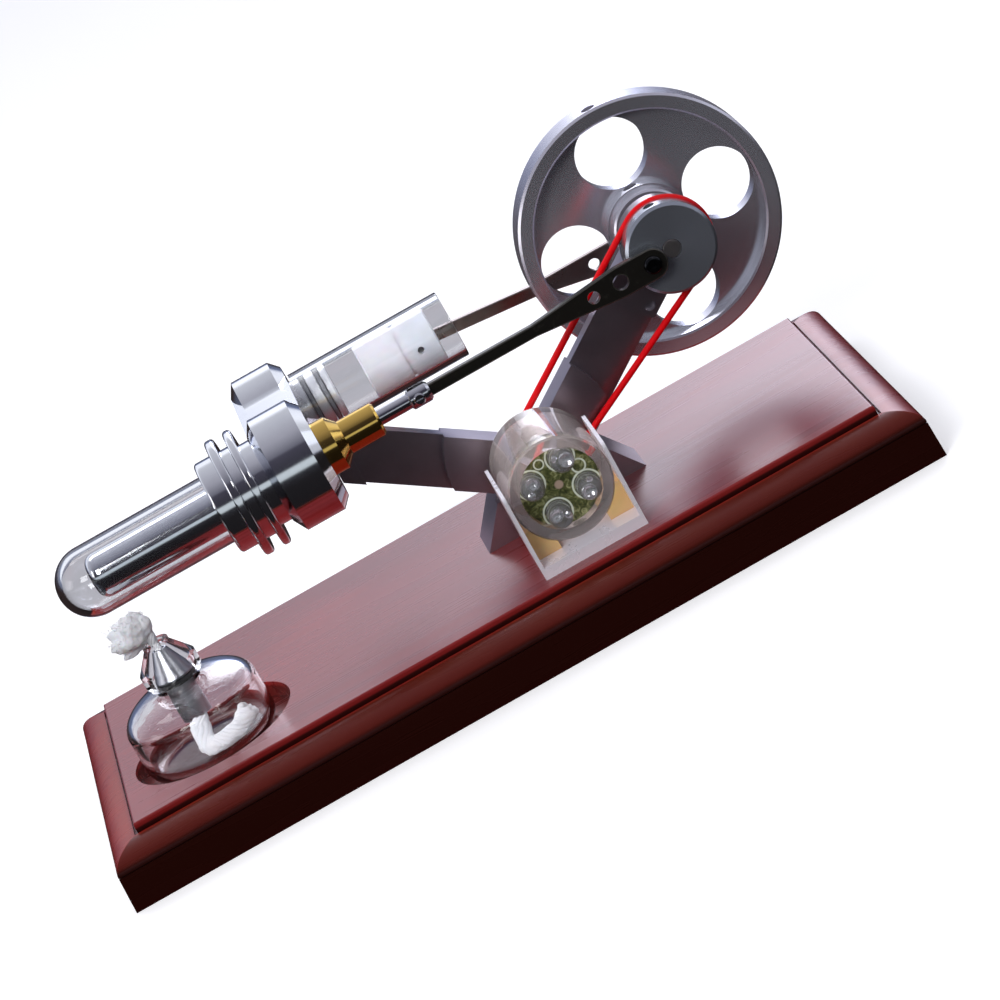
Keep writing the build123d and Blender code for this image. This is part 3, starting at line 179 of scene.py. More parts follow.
def metal(
    name, color, rough,
    turned=None, brushed=None, marks=0.12, lines=2600.0, cloudy=0.10, aniso=0.0, smudges=1.0, bare=1.0,
):
    """Metal with faint clouding, smudges and its tool marks: rings about an axis, or brushed lines.

    marks is how strong the tool marks are, lines is about how many rings there are to a metre, and bare is
    how much of the look is metal: less than 1 has some of the matt skin of anodising or fine blasting.
    """
    look = Look(name, Metallic=bare, Anisotropic=aniso)
    cloud = look.noise(130.0, 4.0, 0.6)
    speck = look.noise(900.0, 2.0)
    tone = look.mix(cloud, scaled(color, 1.0 - cloudy), scaled(color, 1.0 + cloudy))
    tone = look.mix(look.math("MULTIPLY", speck, 0.06), tone, scaled(color, 0.6))
    smudge = look.noise(70.0, 5.0, 0.65, distortion=0.6)
    spread = look.span(smudge, 0.3, 0.75, rough * (1.0 - 0.18 * smudges), rough * (1.0 + 0.28 * smudges))
    if turned:
        axis, centre = turned
        radius, along = around(look, axis, centre)
        height = look.noise(lines, 3.0, 0.7, along=look.math("ADD", radius, along))
        tangent = look.add("ShaderNodeTangent", direction_type="RADIAL", axis=axis)
        look.fix(Tangent=tangent.outputs[0])
    elif brushed:
        height = look.noise(1.0, 3.0, 0.7, vector=look.stretch(*brushed))
    else:
        height = look.noise(1800.0, 3.0)
    look.fix(Base_Color=tone, Roughness=spread, Normal=look.bump(height, marks, TOOL_MARK_DEPTH))
    return look


def glass(name, tint, rough, wave=0.03, ior=1.47, bumps=260.0):
    """Clear glass or plastic with a slow wave in its surface and a faint haze."""
    look = Look(name, Transmission_Weight=1.0, IOR=ior, Base_Color=tint)
    haze = look.span(look.noise(160.0, 4.0, 0.6), 0.35, 0.8, rough * 0.4, rough * 1.6)
    height = look.noise(bumps, 2.0)
    look.fix(Roughness=haze, Normal=look.bump(height, wave, WAVE_DEPTH))
    look.lets_light_through(scaled(tint, 0.97))
    return look


def plastic(name, color, rough, grain=1500.0, texture=0.10, **sockets):
    """Moulded plastic or rubber with a fine skin and a slight change of tone."""
    look = Look(name, **sockets)
    tone = look.mix(look.noise(220.0, 4.0), scaled(color, 0.82), scaled(color, 1.18))
    spread = look.span(look.noise(140.0, 4.0), 0.3, 0.7, rough * 0.85, rough * 1.2)
    look.fix(Base_Color=tone, Roughness=spread, Normal=look.bump(look.noise(grain, 3.0), texture, SKIN_DEPTH))
    return look


def dress(look, *names):
    """Give CAD nodes this look."""
    for name in names:
        slots = NODES[name].data.materials
        slots.clear()
        slots.append(look.material)


# ---------------------------------------------------------------- the wooden base

PANEL_HALF_X, PANEL_HALF_Y = 84.65 * MM, 37.85 * MM
PANEL_TOP = 14.0 * MM
CROWN_LOW, CROWN_HIGH = 9.6 * MM, 11.6 * MM
SIDE_LOW, SIDE_HIGH = 8.6 * MM, 9.8 * MM
DARK_STAIN = (0.120, 0.006, 0.005)
PORE_STAIN = (0.060, 0.0030, 0.0025)
RUBBED_STAIN = (0.42, 0.060, 0.014)
# Painted shade: the long sides of the moulding are darker than its lit ends.
LONG_SIDE_SHADE = (0.050, 0.0085, 0.0035)
# Painted shade in the groove round the raised panel and along the bottom of the base.
CREVICE_SHADE = (0.020, 0.0015, 0.001)
# Painted shade on the base's sides below the moulding.
SIDE_SHADE = (0.012, 0.0022, 0.0010)
# Painted shade in the recess.
RECESS_SHADE = (0.050, 0.0060, 0.0040)


def wood_grain(look):
    """Stained long grain along X, as (tone, grain, pores)."""
    bend = look.vector("ADD", look.stretch(9.0, 120.0, 120.0), (3.0, 1.0, 2.0))
    grain = look.noise(1.0, 6.0, 0.62, vector=bend, distortion=1.3)
    pores = look.noise(1.0, 3.0, 0.7, vector=look.stretch(130.0, 2400.0, 2400.0))
    flame = look.noise(1.0, 2.0, 0.5, vector=look.stretch(26.0, 44.0, 44.0), distortion=0.8)
    tone = look.ramp(
        grain,
        (0.28, (0.190, 0.0110, 0.0110)),
        (0.46, (0.225, 0.0140, 0.0140)),
        (0.58, (0.245, 0.0160, 0.0160)),
        (0.76, (0.275, 0.0200, 0.0180)),
    )
    tone = look.mix(look.span(flame, 0.35, 0.7, 0.0, 0.30), tone, DARK_STAIN)
    tone = look.mix(look.span(pores, 0.58, 0.80, 0.0, 0.22), tone, PORE_STAIN)
    return tone, grain, pores


def mahogany():
    """Stained wood under lacquer, rubbed thin along the moulding, with painted shade on the sides, the long
    moulding sides, round the panel, at the bottom and in the recess.
    """
    look = Look("mahogany", Coat_Roughness=0.33, Coat_IOR=1.5, Specular_IOR_Level=0.35)
    look.fix(Specular_Tint=(1.0, 0.40, 0.46))
    x, y, z = look.split()
    tone, grain, pores = wood_grain(look)

    # How far a point lies outside the raised panel, along x, along y and at most.
    out_x = look.math("SUBTRACT", look.math("ABSOLUTE", x), PANEL_HALF_X)
    out_y = look.math("SUBTRACT", look.math("ABSOLUTE", y), PANEL_HALF_Y)
    out = look.math("MAXIMUM", out_x, out_y)

    crown = look.math("MULTIPLY", look.span(out, 0.2 * MM, 1.6 * MM), look.span(z, CROWN_LOW, CROWN_HIGH))
    worn = look.math("MULTIPLY", crown, look.span(look.noise(60.0, 4.0), 0.25, 0.7, 0.10, 0.42))
    tone = look.mix(worn, tone, RUBBED_STAIN)

    # Painted shade on the long sides of the moulding, up to the mitres at the corners.
    past_mitre = look.span(look.math("SUBTRACT", out_y, out_x), -0.4 * MM, 0.4 * MM)
    shaded_long_sides = look.math("MULTIPLY", look.span(out_y, 0.8 * MM, 1.8 * MM), past_mitre)
    tone = look.mix(look.math("MULTIPLY", shaded_long_sides, 0.80), tone, LONG_SIDE_SHADE)

    # Painted shade in the groove between the raised panel and the moulding.
    near_panel = look.span(look.math("ABSOLUTE", out), 0.9 * MM, 0.1 * MM)
    groove_shade = look.math("MULTIPLY", near_panel, look.span(z, PANEL_TOP - 0.8 * MM, PANEL_TOP - 1.4 * MM))
    tone = look.mix(groove_shade, tone, CREVICE_SHADE)
    # Painted shade on the sides below the moulding.
    tone = look.mix(look.span(z, SIDE_HIGH, SIDE_LOW, 0.0, 0.90), tone, SIDE_SHADE)

    # Painted shade in the recess below the panel's top.
    under_top = look.span(z, PANEL_TOP - 0.4 * MM, PANEL_TOP - 1.4 * MM, 0.0, 0.80)
    recess = look.math("MULTIPLY", under_top, look.span(out, -1.0 * MM, -2.0 * MM))
    tone = look.mix(recess, tone, RECESS_SHADE)
    # Painted shade along the bottom, where the base meets the floor.
    tone = look.mix(look.span(z, 1.5 * MM, 0.2 * MM, 0.0, 0.6), tone, CREVICE_SHADE)

    dust = look.math("MULTIPLY", look.span(look.noise(900.0, 2.0), 0.70, 0.80), 0.08)
    lacquer = look.bump(look.math("ADD", look.noise(190.0, 2.0), dust), 0.05, 0.2 * MM)
    wood = look.bump(look.math("ADD", pores, look.math("MULTIPLY", grain, 0.4)), 0.01, 0.05 * MM)
    off_panel = look.math("MAXIMUM", look.span(out, -0.3 * MM, 0.3 * MM), recess)
    look.fix(Base_Color=tone, Normal=wood, Coat_Normal=lacquer)
    look.fix(Roughness=look.span(grain, 0.3, 0.75, 0.26, 0.30))
    look.fix(Coat_Weight=look.span(off_panel, 0.0, 1.0, 0.58, 0.10))
    return look


dress(mahogany(), "wood_base")

# ---------------------------------------------------------------- metals

AXIS_Z = 53.4 * MM
DISPLACER_Y, POWER_Y = -8.3 * MM, 25.6 * MM
SHAFT_X = 66.4 * MM
GENERATOR_X, GENERATOR_Z = 22.6 * MM, 27.4 * MM
HOT_AXIS = ("X", (DISPLACER_Y, AXIS_Z))
POWER_AXIS = ("X", (POWER_Y, AXIS_Z))
SHAFT_AXIS = ("Y", (SHAFT_X, AXIS_Z))
GENERATOR_AXIS = ("Y", (GENERATOR_X, GENERATOR_Z))

ALUMINIUM = (0.86, 0.87, 0.90)

# name, colour, roughness, tool marks and finish, and the CAD nodes that are made of it
METALS = (
    (
        "bracket_metal", (0.50, 0.44, 0.49), 0.30,
        dict(brushed=(900.0, 900.0, 120.0), marks=0.10, smudges=0.4),
        ("bracket",),
    ),
    ("head_metal", ALUMINIUM, 0.11, dict(brushed=(120.0, 900.0, 900.0), marks=0.03), ("cylinder_head",)),
    ("collar_metal", ALUMINIUM, 0.10, dict(turned=HOT_AXIS, marks=0.06), ("finned_collar",)),
    (
        "spigot_metal", (0.88, 0.88, 0.92), 0.26,
        dict(turned=POWER_AXIS, marks=0.05, bare=0.6),
        ("cylinder_spigot",),
    ),
    (
        "displacer_metal", (0.80, 0.81, 0.85), 0.09,
        dict(turned=HOT_AXIS, marks=0.05),
        ("displacer_can", "displacer_plug"),
    ),
    (
        "rod_metal", (0.62, 0.62, 0.66), 0.14,
        dict(turned=HOT_AXIS, marks=0.05),
        ("displacer_rod", "displacer_fork", "fork_pin"),
    ),
    (
        "gland_brass", (0.80, 0.52, 0.13), 0.10,
        dict(turned=HOT_AXIS, marks=0.06, cloudy=0.06),
        ("displacer_gland",),
    ),
    (
        "wheel_metal", (0.82, 0.80, 0.88), 0.25,
        dict(turned=SHAFT_AXIS, marks=0.10, lines=420.0, aniso=0.7, smudges=0.2, cloudy=0.04, bare=0.88),
        ("flywheel",),
    ),
    (
        "pulley_metal", (0.46, 0.49, 0.56), 0.22,
        dict(turned=SHAFT_AXIS, marks=0.12, lines=800.0, aniso=0.7, smudges=0.2, cloudy=0.04, bare=0.84),
        ("crank_pulley", "pulley_set_screw"),
    ),
    (
        "shaft_metal", (0.60, 0.57, 0.55), 0.30,
        dict(turned=SHAFT_AXIS, marks=0.05),
        ("main_shaft", "bearing_inner_races"),
    ),
    ("bearing_metal", (0.68, 0.69, 0.72), 0.12, {}, ("bearing_outer_races", "bearing_balls")),
    (
        "spacer_metal", (0.70, 0.71, 0.74), 0.18, {},
        ("shaft_spacers", "displacer_pin_spacer", "power_pin_spacer", "wrist_pin"),
    ),
    ("screw_metal", (0.62, 0.62, 0.65), 0.22, {}, ("bracket_screws", "head_screws", "cradle_screws")),
    ("black_screw_metal", (0.035, 0.035, 0.04), 0.22, {}, ("displacer_crank_pin", "power_crank_pin")),
    ("set_screw_metal", (0.05, 0.05, 0.055), 0.30, {}, ("flywheel_set_screw",)),
    (
        "small_pulley_metal", (0.80, 0.80, 0.83), 0.14,
        dict(turned=GENERATOR_AXIS, marks=0.08),
        ("small_pulley",),
    ),
    (
        "generator_shaft_metal", (0.70, 0.70, 0.73), 0.14,
        dict(turned=GENERATOR_AXIS, marks=0.05),
        ("generator_shaft",),
    ),
    ("can_metal", (0.70, 0.68, 0.66), 0.24, dict(turned=GENERATOR_AXIS, marks=0.08), ("generator_can",)),
    (
        "cradle_metal", (0.93, 0.89, 0.96), 0.30,
        dict(brushed=(500.0, 90.0, 500.0), marks=0.02, cloudy=0.02, bare=0.20),
        ("generator_cradle",),
    ),
    ("lead_metal", (0.72, 0.72, 0.74), 0.25, {}, ("lamp_leads",)),
    (
        "copper", (0.72, 0.30, 0.13), 0.28,
        dict(turned=GENERATOR_AXIS, marks=0.4),
        ("armature_windings", "commutator"),
    ),
    ("brush_brass", (0.70, 0.50, 0.16), 0.25, {}, ("generator_brushes",)),
    ("armature_iron", (0.22, 0.22, 0.23), 0.45, {}, ("generator_armature",)),
    ("holder_metal", (0.50, 0.51, 0.55), 0.30, {}, ("wick_holder",)),
    (
        "rear_link_metal", (0.34, 0.28, 0.25), 0.26,
        dict(brushed=(90.0, 900.0, 900.0), marks=0.06),
        ("power_link",),
    ),
)
for name, color, rough, finish, nodes in METALS:
    dress(metal(name, color, rough, **finish), *nodes)

EDGE_RADIUS = 0.25 * MM


def blackened(name, rough):
    """Blackened steel bar whose edges have rubbed bright."""
    look = Look(name, Metallic=0.85, Specular_IOR_Level=0.5)
    worn = look.span(look.noise(480.0, 5.0, 0.7), 0.58, 0.74)
    tone = look.mix(look.math("MULTIPLY", worn, 0.4), (0.052, 0.048, 0.041), (0.16, 0.15, 0.12))
    bevel = look.add("ShaderNodeBevel", samples=6)
    bevel.inputs["Radius"].default_value = EDGE_RADIUS
    face = look.add("ShaderNodeNewGeometry")
    edge = look.span(look.vector("DOT_PRODUCT", bevel.outputs[0], face.outputs["Normal"]), 0.995, 0.93)
    tone = look.mix(look.math("MULTIPLY", edge, 0.75), tone, (0.50, 0.47, 0.42))
    height = look.noise(1.0, 3.0, 0.7, vector=look.stretch(220.0, 2600.0, 2600.0))
    look.fix(Base_Color=tone, Roughness=look.span(worn, 0.0, 1.0, rough, rough * 1.5))
    look.fix(Normal=look.bump(height, 0.12, 0.03 * MM))
    return look


dress(blackened("blackened_link", 0.30), "displacer_link")

# ---------------------------------------------------------------- glass, plastic and rubber

dress(glass("tube_glass", (0.97, 0.98, 0.99), 0.012, wave=0.02), "hot_glass_tube", "power_glass_tube")
dress(glass("bottle_glass", (0.985, 0.985, 0.99), 0.010, wave=0.10, ior=1.5, bumps=150.0), "burner_bottle")
dress(glass("hood_glass", (0.99, 0.99, 0.995), 0.03, wave=0.04, ior=1.16), "burner_hood")

# The housing and the lamps are a little milky: part of their light scatters instead of passing through.
housing_look = glass("housing_plastic", (0.97, 0.90, 0.875), 0.06)
housing_look.fix(Transmission_Weight=0.86)
dress(housing_look, "clear_housing")
lamp_look = glass("lamp_epoxy", (0.84, 0.84, 0.86), 0.015, wave=0.02, ior=1.54)
lamp_look.fix(Transmission_Weight=0.84)
dress(lamp_look, "lamps")

dress(plastic("belt_rubber", (0.90, 0.0, 0.004), 0.38, Specular_IOR_Level=0.4), "drive_belt")
dress(plastic("seal_rubber", (0.012, 0.012, 0.013), 0.45), "collar_o_rings", "burner_seal")
dress(plastic("ring_rubber", (0.20, 0.20, 0.22), 0.40), "spigot_o_rings")
dress(plastic("black_moulding", (0.022, 0.022, 0.024), 0.45), "generator_end_cap", "generator_wires")
dress(plastic("magnet_ferrite", (0.05, 0.05, 0.05), 0.6), "generator_magnets")
wedge_look = plastic("amber_wedge", (0.85, 0.48, 0.20), 0.35, grain=700.0, texture=0.2)
wedge_look.fix(Subsurface_Weight=0.25, Coat_Weight=0.3)
dress(wedge_look, "cradle_wedges")
piston_look = plastic("piston_white", (0.66, 0.63, 0.68), 0.42, grain=2600.0, texture=0.12)
piston_look.fix(Subsurface_Weight=0.2)
dress(piston_look, "power_piston")

# ---------------------------------------------------------------- the lamp board

LAMP_CIRCLE = 5.8 * MM
LAMP_ANGLES = (61.0, 151.0, 241.0, 331.0)
PRINT_WHITE = (0.78, 0.84, 0.72)
BARE_COPPER = (0.42, 0.31, 0.24)
# Printed rings: angle and distance from the board's middle, radius, half the line's width
LAMP_RINGS = [(angle, LAMP_CIRCLE, 3.0 * MM, 0.16 * MM) for angle in LAMP_ANGLES]
PART_RINGS = [(16.0, 5.5 * MM, 1.4 * MM, 0.15 * MM), (106.0, 6.0 * MM, 1.0 * MM, 0.13 * MM)]


def on_board(angle, radius):
    """The place (x, z) at an angle, in degrees, and a distance from the board's middle."""
    turn = math.radians(angle)
    return GENERATOR_X + radius * math.cos(turn), GENERATOR_Z + radius * math.sin(turn)


def ring_of(look, vector, centre, radius, half_width):
    """How much a printed ring covers a point: 1 on its line and 0 off it."""
    away = look.vector("DISTANCE", vector, (centre[0], 0.0, centre[1]))
    off = look.math("ABSOLUTE", look.math("SUBTRACT", away, radius))
    return look.span(off, half_width * 1.6, half_width * 0.8)


def circuit_board():
    """Olive solder mask with printed rings round the lamps and a copper pad in the middle."""
    look = Look("circuit_board", Coat_Weight=0.5, Coat_Roughness=0.15, Roughness=0.35)
    x, y, z = look.split()
    flat = look.add("ShaderNodeCombineXYZ")
    look.feed(flat.inputs["X"], x)
    look.feed(flat.inputs["Z"], z)
    place = flat.outputs[0]
    marble = look.noise(700.0, 4.0, 0.6, vector=place, distortion=1.5)
    tone = look.ramp(
        marble,
        (0.34, (0.020, 0.026, 0.008)),
        (0.52, (0.10, 0.11, 0.035)),
        (0.66, (0.34, 0.35, 0.17)),
    )
    printed = 0.0
    for angle, away, radius, half_width in LAMP_RINGS + PART_RINGS:
        mark = ring_of(look, place, on_board(angle, away), radius, half_width)
        printed = look.math("MAXIMUM", printed, mark)
    from_middle = look.vector("DISTANCE", place, (GENERATOR_X, 0.0, GENERATOR_Z))
    tone = look.mix(look.math("MULTIPLY", printed, 0.85), tone, PRINT_WHITE)
    tone = look.mix(look.span(from_middle, 1.1 * MM, 0.7 * MM), tone, BARE_COPPER)
    look.fix(Base_Color=tone, Normal=look.bump(printed, 0.2, 0.05 * MM))
    return look


dress(circuit_board(), "lamp_board")

# ---------------------------------------------------------------- added pieces


def piece(name, verts, faces, look, body, slot):
    """A smooth mesh in the part frame, dressed and riding on a body. The slot argument is not used."""
    mesh = bpy.data.meshes.new(name)
    mesh.from_pydata([tuple(v) for v in verts], [], faces)
    mesh.update()
    mesh.shade_smooth()
    made = bpy.data.objects.new(name, mesh)
    bpy.context.scene.collection.objects.link(made)
    mesh.materials.append(look.material)
    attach(made, body)
    return made


def turned_shell(profile, origin, axis, steps=32):
    """Vertices and faces of a closed body turned from (distance along, radius) points about an axis."""
    axis = Vector(axis).normalized()
    side = axis.orthogonal().normalized()
    other = axis.cross(side)
    verts, faces = [], []
    for along, radius in profile:
        for k in range(steps):
            turn = 2.0 * math.pi * k / steps
            spoke = side * math.cos(turn) + other * math.sin(turn)
            verts.append(Vector(origin) + axis * along + spoke * radius)
    for ring in range(len(profile) - 1):
        for k in range(steps):
            a = ring * steps + k
            b = ring * steps + (k + 1) % steps
            faces.append((a, b, b + steps, a + steps))
    faces.append(tuple(range(steps - 1, -1, -1)))
    last = (len(profile) - 1) * steps
    faces.append(tuple(range(last, last + steps)))
    return verts, faces


def merge(parts):
    """Several (vertices, faces) as one."""
    verts, faces = [], []
    for more_verts, more_faces in parts:
        base = len(verts)
        verts.extend(more_verts)
        faces.extend(tuple(i + base for i in face) for face in more_faces)
    return verts, faces


def tube_along(points, radii, steps=8):
    """A closed tube that follows points, with a radius at each."""
    verts, faces = [], []
    count = len(points)
    side = None
    for i, point in enumerate(points):
        ahead = (points[min(i + 1, count - 1)] - points[max(i - 1, 0)]).normalized()
        side = ahead.orthogonal() if side is None else side - ahead * side.dot(ahead)
        side.normalize()
        other = ahead.cross(side)
        for k in range(steps):
            turn = 2.0 * math.pi * k / steps
            verts.append(point + (side * math.cos(turn) + other * math.sin(turn)) * radii[i])
    for i in range(count - 1):
        for k in range(steps):
            a = i * steps + k
            b = i * steps + (k + 1) % steps
            faces.append((a, b, b + steps, a + steps))
    faces.append(tuple(range(steps - 1, -1, -1)))
    faces.append(tuple(range((count - 1) * steps, count * steps)))
    return verts, faces


BOARD_FACE = -24.0 * MM


def lamp_post(angle, shift, top, wide, has_cup):
    """One of a lamp's two posts, which ends in a small anvil or in a wider one with a reflector cup."""
    lamp_x, lamp_z = on_board(angle, LAMP_CIRCLE)
    turn = math.radians(angle + 90.0)
    origin = (lamp_x + shift * MM * math.cos(turn), BOARD_FACE, lamp_z + shift * MM * math.sin(turn))
    profile = [(0.1, 0.25), (1.3, 0.25), (1.5, wide * 0.7), (top - 0.1, wide), (top, wide * 0.9)]
    if has_cup:
        profile += [(top - 0.35, wide * 0.55), (top - 0.4, 0.1)]
    return turned_shell([(along * MM, radius * MM) for along, radius in profile], origin, (0, -1, 0), 24)


shells = []
for angle in LAMP_ANGLES:
    shells.append(lamp_post(angle, -0.55, 2.7, 0.95, True))
    shells.append(lamp_post(angle, 0.95, 2.5, 0.45, False))
lamp_metal = metal("lamp_cup_metal", (0.62, 0.62, 0.64), 0.20)
piece("lamp_cups", *merge(shells), lamp_metal, "stand", "solder")

# ---------------------------------------------------------------- the cotton wick

BURNER_X, BURNER_Y = -64.2 * MM, -13.4 * MM
BOTTLE_FLOOR = 10.5 * MM


def cotton():
    """Twisted cotton: fine fibres with soft shadows between them."""
    look = Look("cotton", Sheen_Weight=0.5, Sheen_Roughness=0.6, Subsurface_Weight=0.15)
    look.fix(Specular_IOR_Level=0.15)
    fibre = look.noise(5200.0, 4.0, 0.7)
    cloud = look.noise(420.0, 4.0, 0.6)
    tone = look.mix(cloud, (0.76, 0.74, 0.77), (0.93, 0.92, 0.94))
    tone = look.mix(look.span(fibre, 0.55, 0.30, 0.0, 0.30), tone, (0.62, 0.58, 0.62))
    look.fix(Base_Color=tone, Roughness=look.span(fibre, 0.3, 0.7, 0.75, 0.95))
    look.fix(Normal=look.bump(fibre, 0.5, 0.1 * MM))
    return look


cotton_look = cotton()

# Blender seeds its noise from the clock, so it gets a seed here for every run to give the same wick.
WICK_SEED = 7
dice = random.Random(WICK_SEED)
noise.seed_set(WICK_SEED)


def ruffled(shell, amount):
    """Cotton has no smooth skin: small lumps over larger ones."""
    verts, faces = shell
    coarse = [v + noise.noise_vector(v / (1.1 * MM)) * 0.30 * MM * amount for v in verts]
    return [v + noise.noise_vector(v / (0.45 * MM)) * 0.13 * MM * amount for v in coarse], faces


# The wick's centre line in mm, from the burner's middle and its bottle's floor, tail first
WICK_KNOTS = (
    (9.6, -4.8, 6.2),
    (6.9, -7.0, 4.5),
    (2.6, -8.6, 4.0),
    (-0.6, -7.2, 4.5),
    (-0.1, -0.8, 9.8),
    (0.0, 0.0, 14.0),
    (0.0, 0.0, 18.0),
    (0.0, 0.0, 22.0),
    (-0.1, 0.0, 26.0),
    (-0.7, 0.0, 29.0),
)


def wick_line(t):
    """A point on the smooth curve through the knots, from the tail (0) to the top (1)."""
    last = len(WICK_KNOTS) - 1
    i = min(int(t * last), last - 1)
    u = t * last - i
    foot = Vector((BURNER_X, BURNER_Y, BOTTLE_FLOOR))
    p = [foot + Vector(WICK_KNOTS[max(0, min(last, i + k))]) * MM for k in (-1, 0, 1, 2)]
    return 0.5 * (
        2.0 * p[1]
        + (p[2] - p[0]) * u
        + (2.0 * p[0] - 5.0 * p[1] + 4.0 * p[2] - p[3]) * u * u
        + (3.0 * p[1] - p[0] - 3.0 * p[2] + p[3]) * u * u * u
    )


# The bundle's girths, and the heights over the bottle's floor where they change, in mm
LOOSE_GIRTH, TUBE_GIRTH, NECK_GIRTH, FLARE_GIRTH = 2.1, 1.75, 0.80, 1.5
TUBE_FOOT, CONE_FOOT, CONE_TOP, FLARE_FOOT = 9.3, 18.8, 24.0, 26.0


def wick_girth(t):
    """How wide the bundle is: loose in the bottle, squeezed by the holder's cone, and open above it."""
    height = (wick_line(t).z - BOTTLE_FLOOR) / MM
    if height < TUBE_FOOT:
        girth = LOOSE_GIRTH
    elif height < CONE_FOOT:
        girth = TUBE_GIRTH
    elif height < CONE_TOP:
        girth = TUBE_GIRTH + (NECK_GIRTH - TUBE_GIRTH) * (height - CONE_FOOT) / (CONE_TOP - CONE_FOOT)
    else:
        girth = min(FLARE_GIRTH, NECK_GIRTH + 0.35 * max(0.0, height - FLARE_FOOT))
    return girth * MM


STRANDS, WICK_STEPS, TWISTS = 8, 90, 4.5


def wick_frame(t):
    """(centre, ahead, side, other) of the wick at t."""
    ahead = (wick_line(min(1.0, t + 0.01)) - wick_line(max(0.0, t - 0.01))).normalized()
    side = Vector((0, 1, 0))
    return wick_line(t), ahead, side, ahead.cross(side).normalized()


def strand_shell(strand):
    """One strand twisted round the wick's centre line. The last one is the core."""
    is_core = strand == STRANDS
    points, radii = [], []
    for i in range(WICK_STEPS + 1):
        t = i / WICK_STEPS
        centre, ahead, side, other = wick_frame(t)
        turn = 2.0 * math.pi * (strand / STRANDS + TWISTS * t)
        girth = wick_girth(t)
        off = 0.0 if is_core else girth * 0.66
        wobble = 1.0 + 0.10 * math.sin(17.0 * t * (strand + 3))
        points.append(centre + (side * math.cos(turn) + other * math.sin(turn)) * off * wobble)
        thick = girth * (0.42 if is_core else 0.34)
        radii.append(thick * (1.0 + 0.06 * math.sin(61.0 * t + strand)))
    return ruffled(tube_along(points, radii, 12), 0.5)


shells = [strand_shell(strand) for strand in range(STRANDS + 1)]

# Stray fibres lift from the strands inside the bottle.
STRAY_FIBRES = 110
FIBRE_RADII = [0.055 * MM, 0.05 * MM, 0.02 * MM]
for _ in range(STRAY_FIBRES):
    t = dice.uniform(0.0, 0.44)
    turn = dice.uniform(0.0, 2.0 * math.pi)
    centre, ahead, side, other = wick_frame(t)
    out = side * math.cos(turn) + other * math.sin(turn)
    start = centre + out * wick_girth(t) * 0.80
    end = start + out * dice.uniform(0.2, 0.55) * MM + ahead * dice.uniform(-1.0, 1.0) * MM
    middle = (start + end) / 2 + Vector([dice.uniform(-0.2, 0.2) * MM for _ in range(3)])
    shells.append(tube_along([start, middle, end], FIBRE_RADII, 5))

# The head opens into loose tufts that lean to the bottle's left.
ROOT = wick_line(0.97)
# Each tuft's direction, and its length and girth in mm
TUFTS = (
    ((-0.95, 0.05, 0.62), 7.6, 1.95),
    ((-1.00, -0.25, 0.30), 7.3, 1.85),
    ((-0.85, 0.30, 0.85), 7.0, 1.95),
    ((-0.45, -0.10, 1.00), 6.6, 2.10),
    ((-0.15, 0.20, 1.00), 5.8, 1.95),
    ((-0.60, -0.45, 0.85), 6.4, 1.80),
    ((-1.00, 0.25, 0.05), 6.6, 1.45),
    ((-0.80, -0.55, 0.35), 6.2, 1.60),
    ((0.20, -0.15, 1.00), 4.8, 1.55),
    ((-0.95, -0.05, -0.20), 5.8, 1.25),
)
TUFT_STEPS = 30
TUFT_REACH = 1.12 * MM


def tuft_radius(girth, u):
    """A tuft is thin at its root (0), swells, and rounds off at its tip (1)."""
    swell = math.sin(math.pi * min(1.0, 0.12 + 0.80 * u)) ** 0.7
    return girth * MM * (0.30 + 0.70 * swell) * (1.0 - 0.55 * max(0.0, u - 0.8) / 0.2)


def blended(shell, grid):
    """One skin round shells that run into each other, with the creases between them eased."""
    mesh = bpy.data.meshes.new("blend")
    mesh.from_pydata([tuple(v) for v in shell[0]], [], shell[1])
    rough = bpy.data.objects.new("blend", mesh)
    bpy.context.scene.collection.objects.link(rough)
    skin = rough.modifiers.new("skin", "REMESH")
    skin.mode, skin.voxel_size = "VOXEL", grid
    ease = rough.modifiers.new("ease", "SMOOTH")
    ease.factor, ease.iterations = 0.5, 5
    eased = rough.evaluated_get(bpy.context.evaluated_depsgraph_get()).to_mesh()
    verts, faces = [v.co.copy() for v in eased.vertices], [tuple(p.vertices) for p in eased.polygons]
    bpy.data.objects.remove(rough)
    bpy.data.meshes.remove(mesh)
    return verts, faces


tufts = []
for direction, length, girth in TUFTS:
    lead = Vector(direction).normalized()
    points, radii = [], []
    for i in range(TUFT_STEPS):
        u = i / (TUFT_STEPS - 1.0)
        sway = Vector((math.sin(5.0 * u + length), math.cos(4.0 * u + girth), math.sin(6.0 * u)))
        droop = Vector((0, 0, -0.5 * MM * u * u))
        points.append(ROOT + lead * length * TUFT_REACH * u + droop + sway * 0.22 * MM * u)
        radii.append(tuft_radius(girth, u))
    tufts.append(tube_along(points, radii, 20))
shells.append(ruffled(blended(merge(tufts), 0.24 * MM), 0.8))
wick = piece("cotton_wick", *merge(shells), cotton_look, "burner", "cotton")
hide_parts("wick")

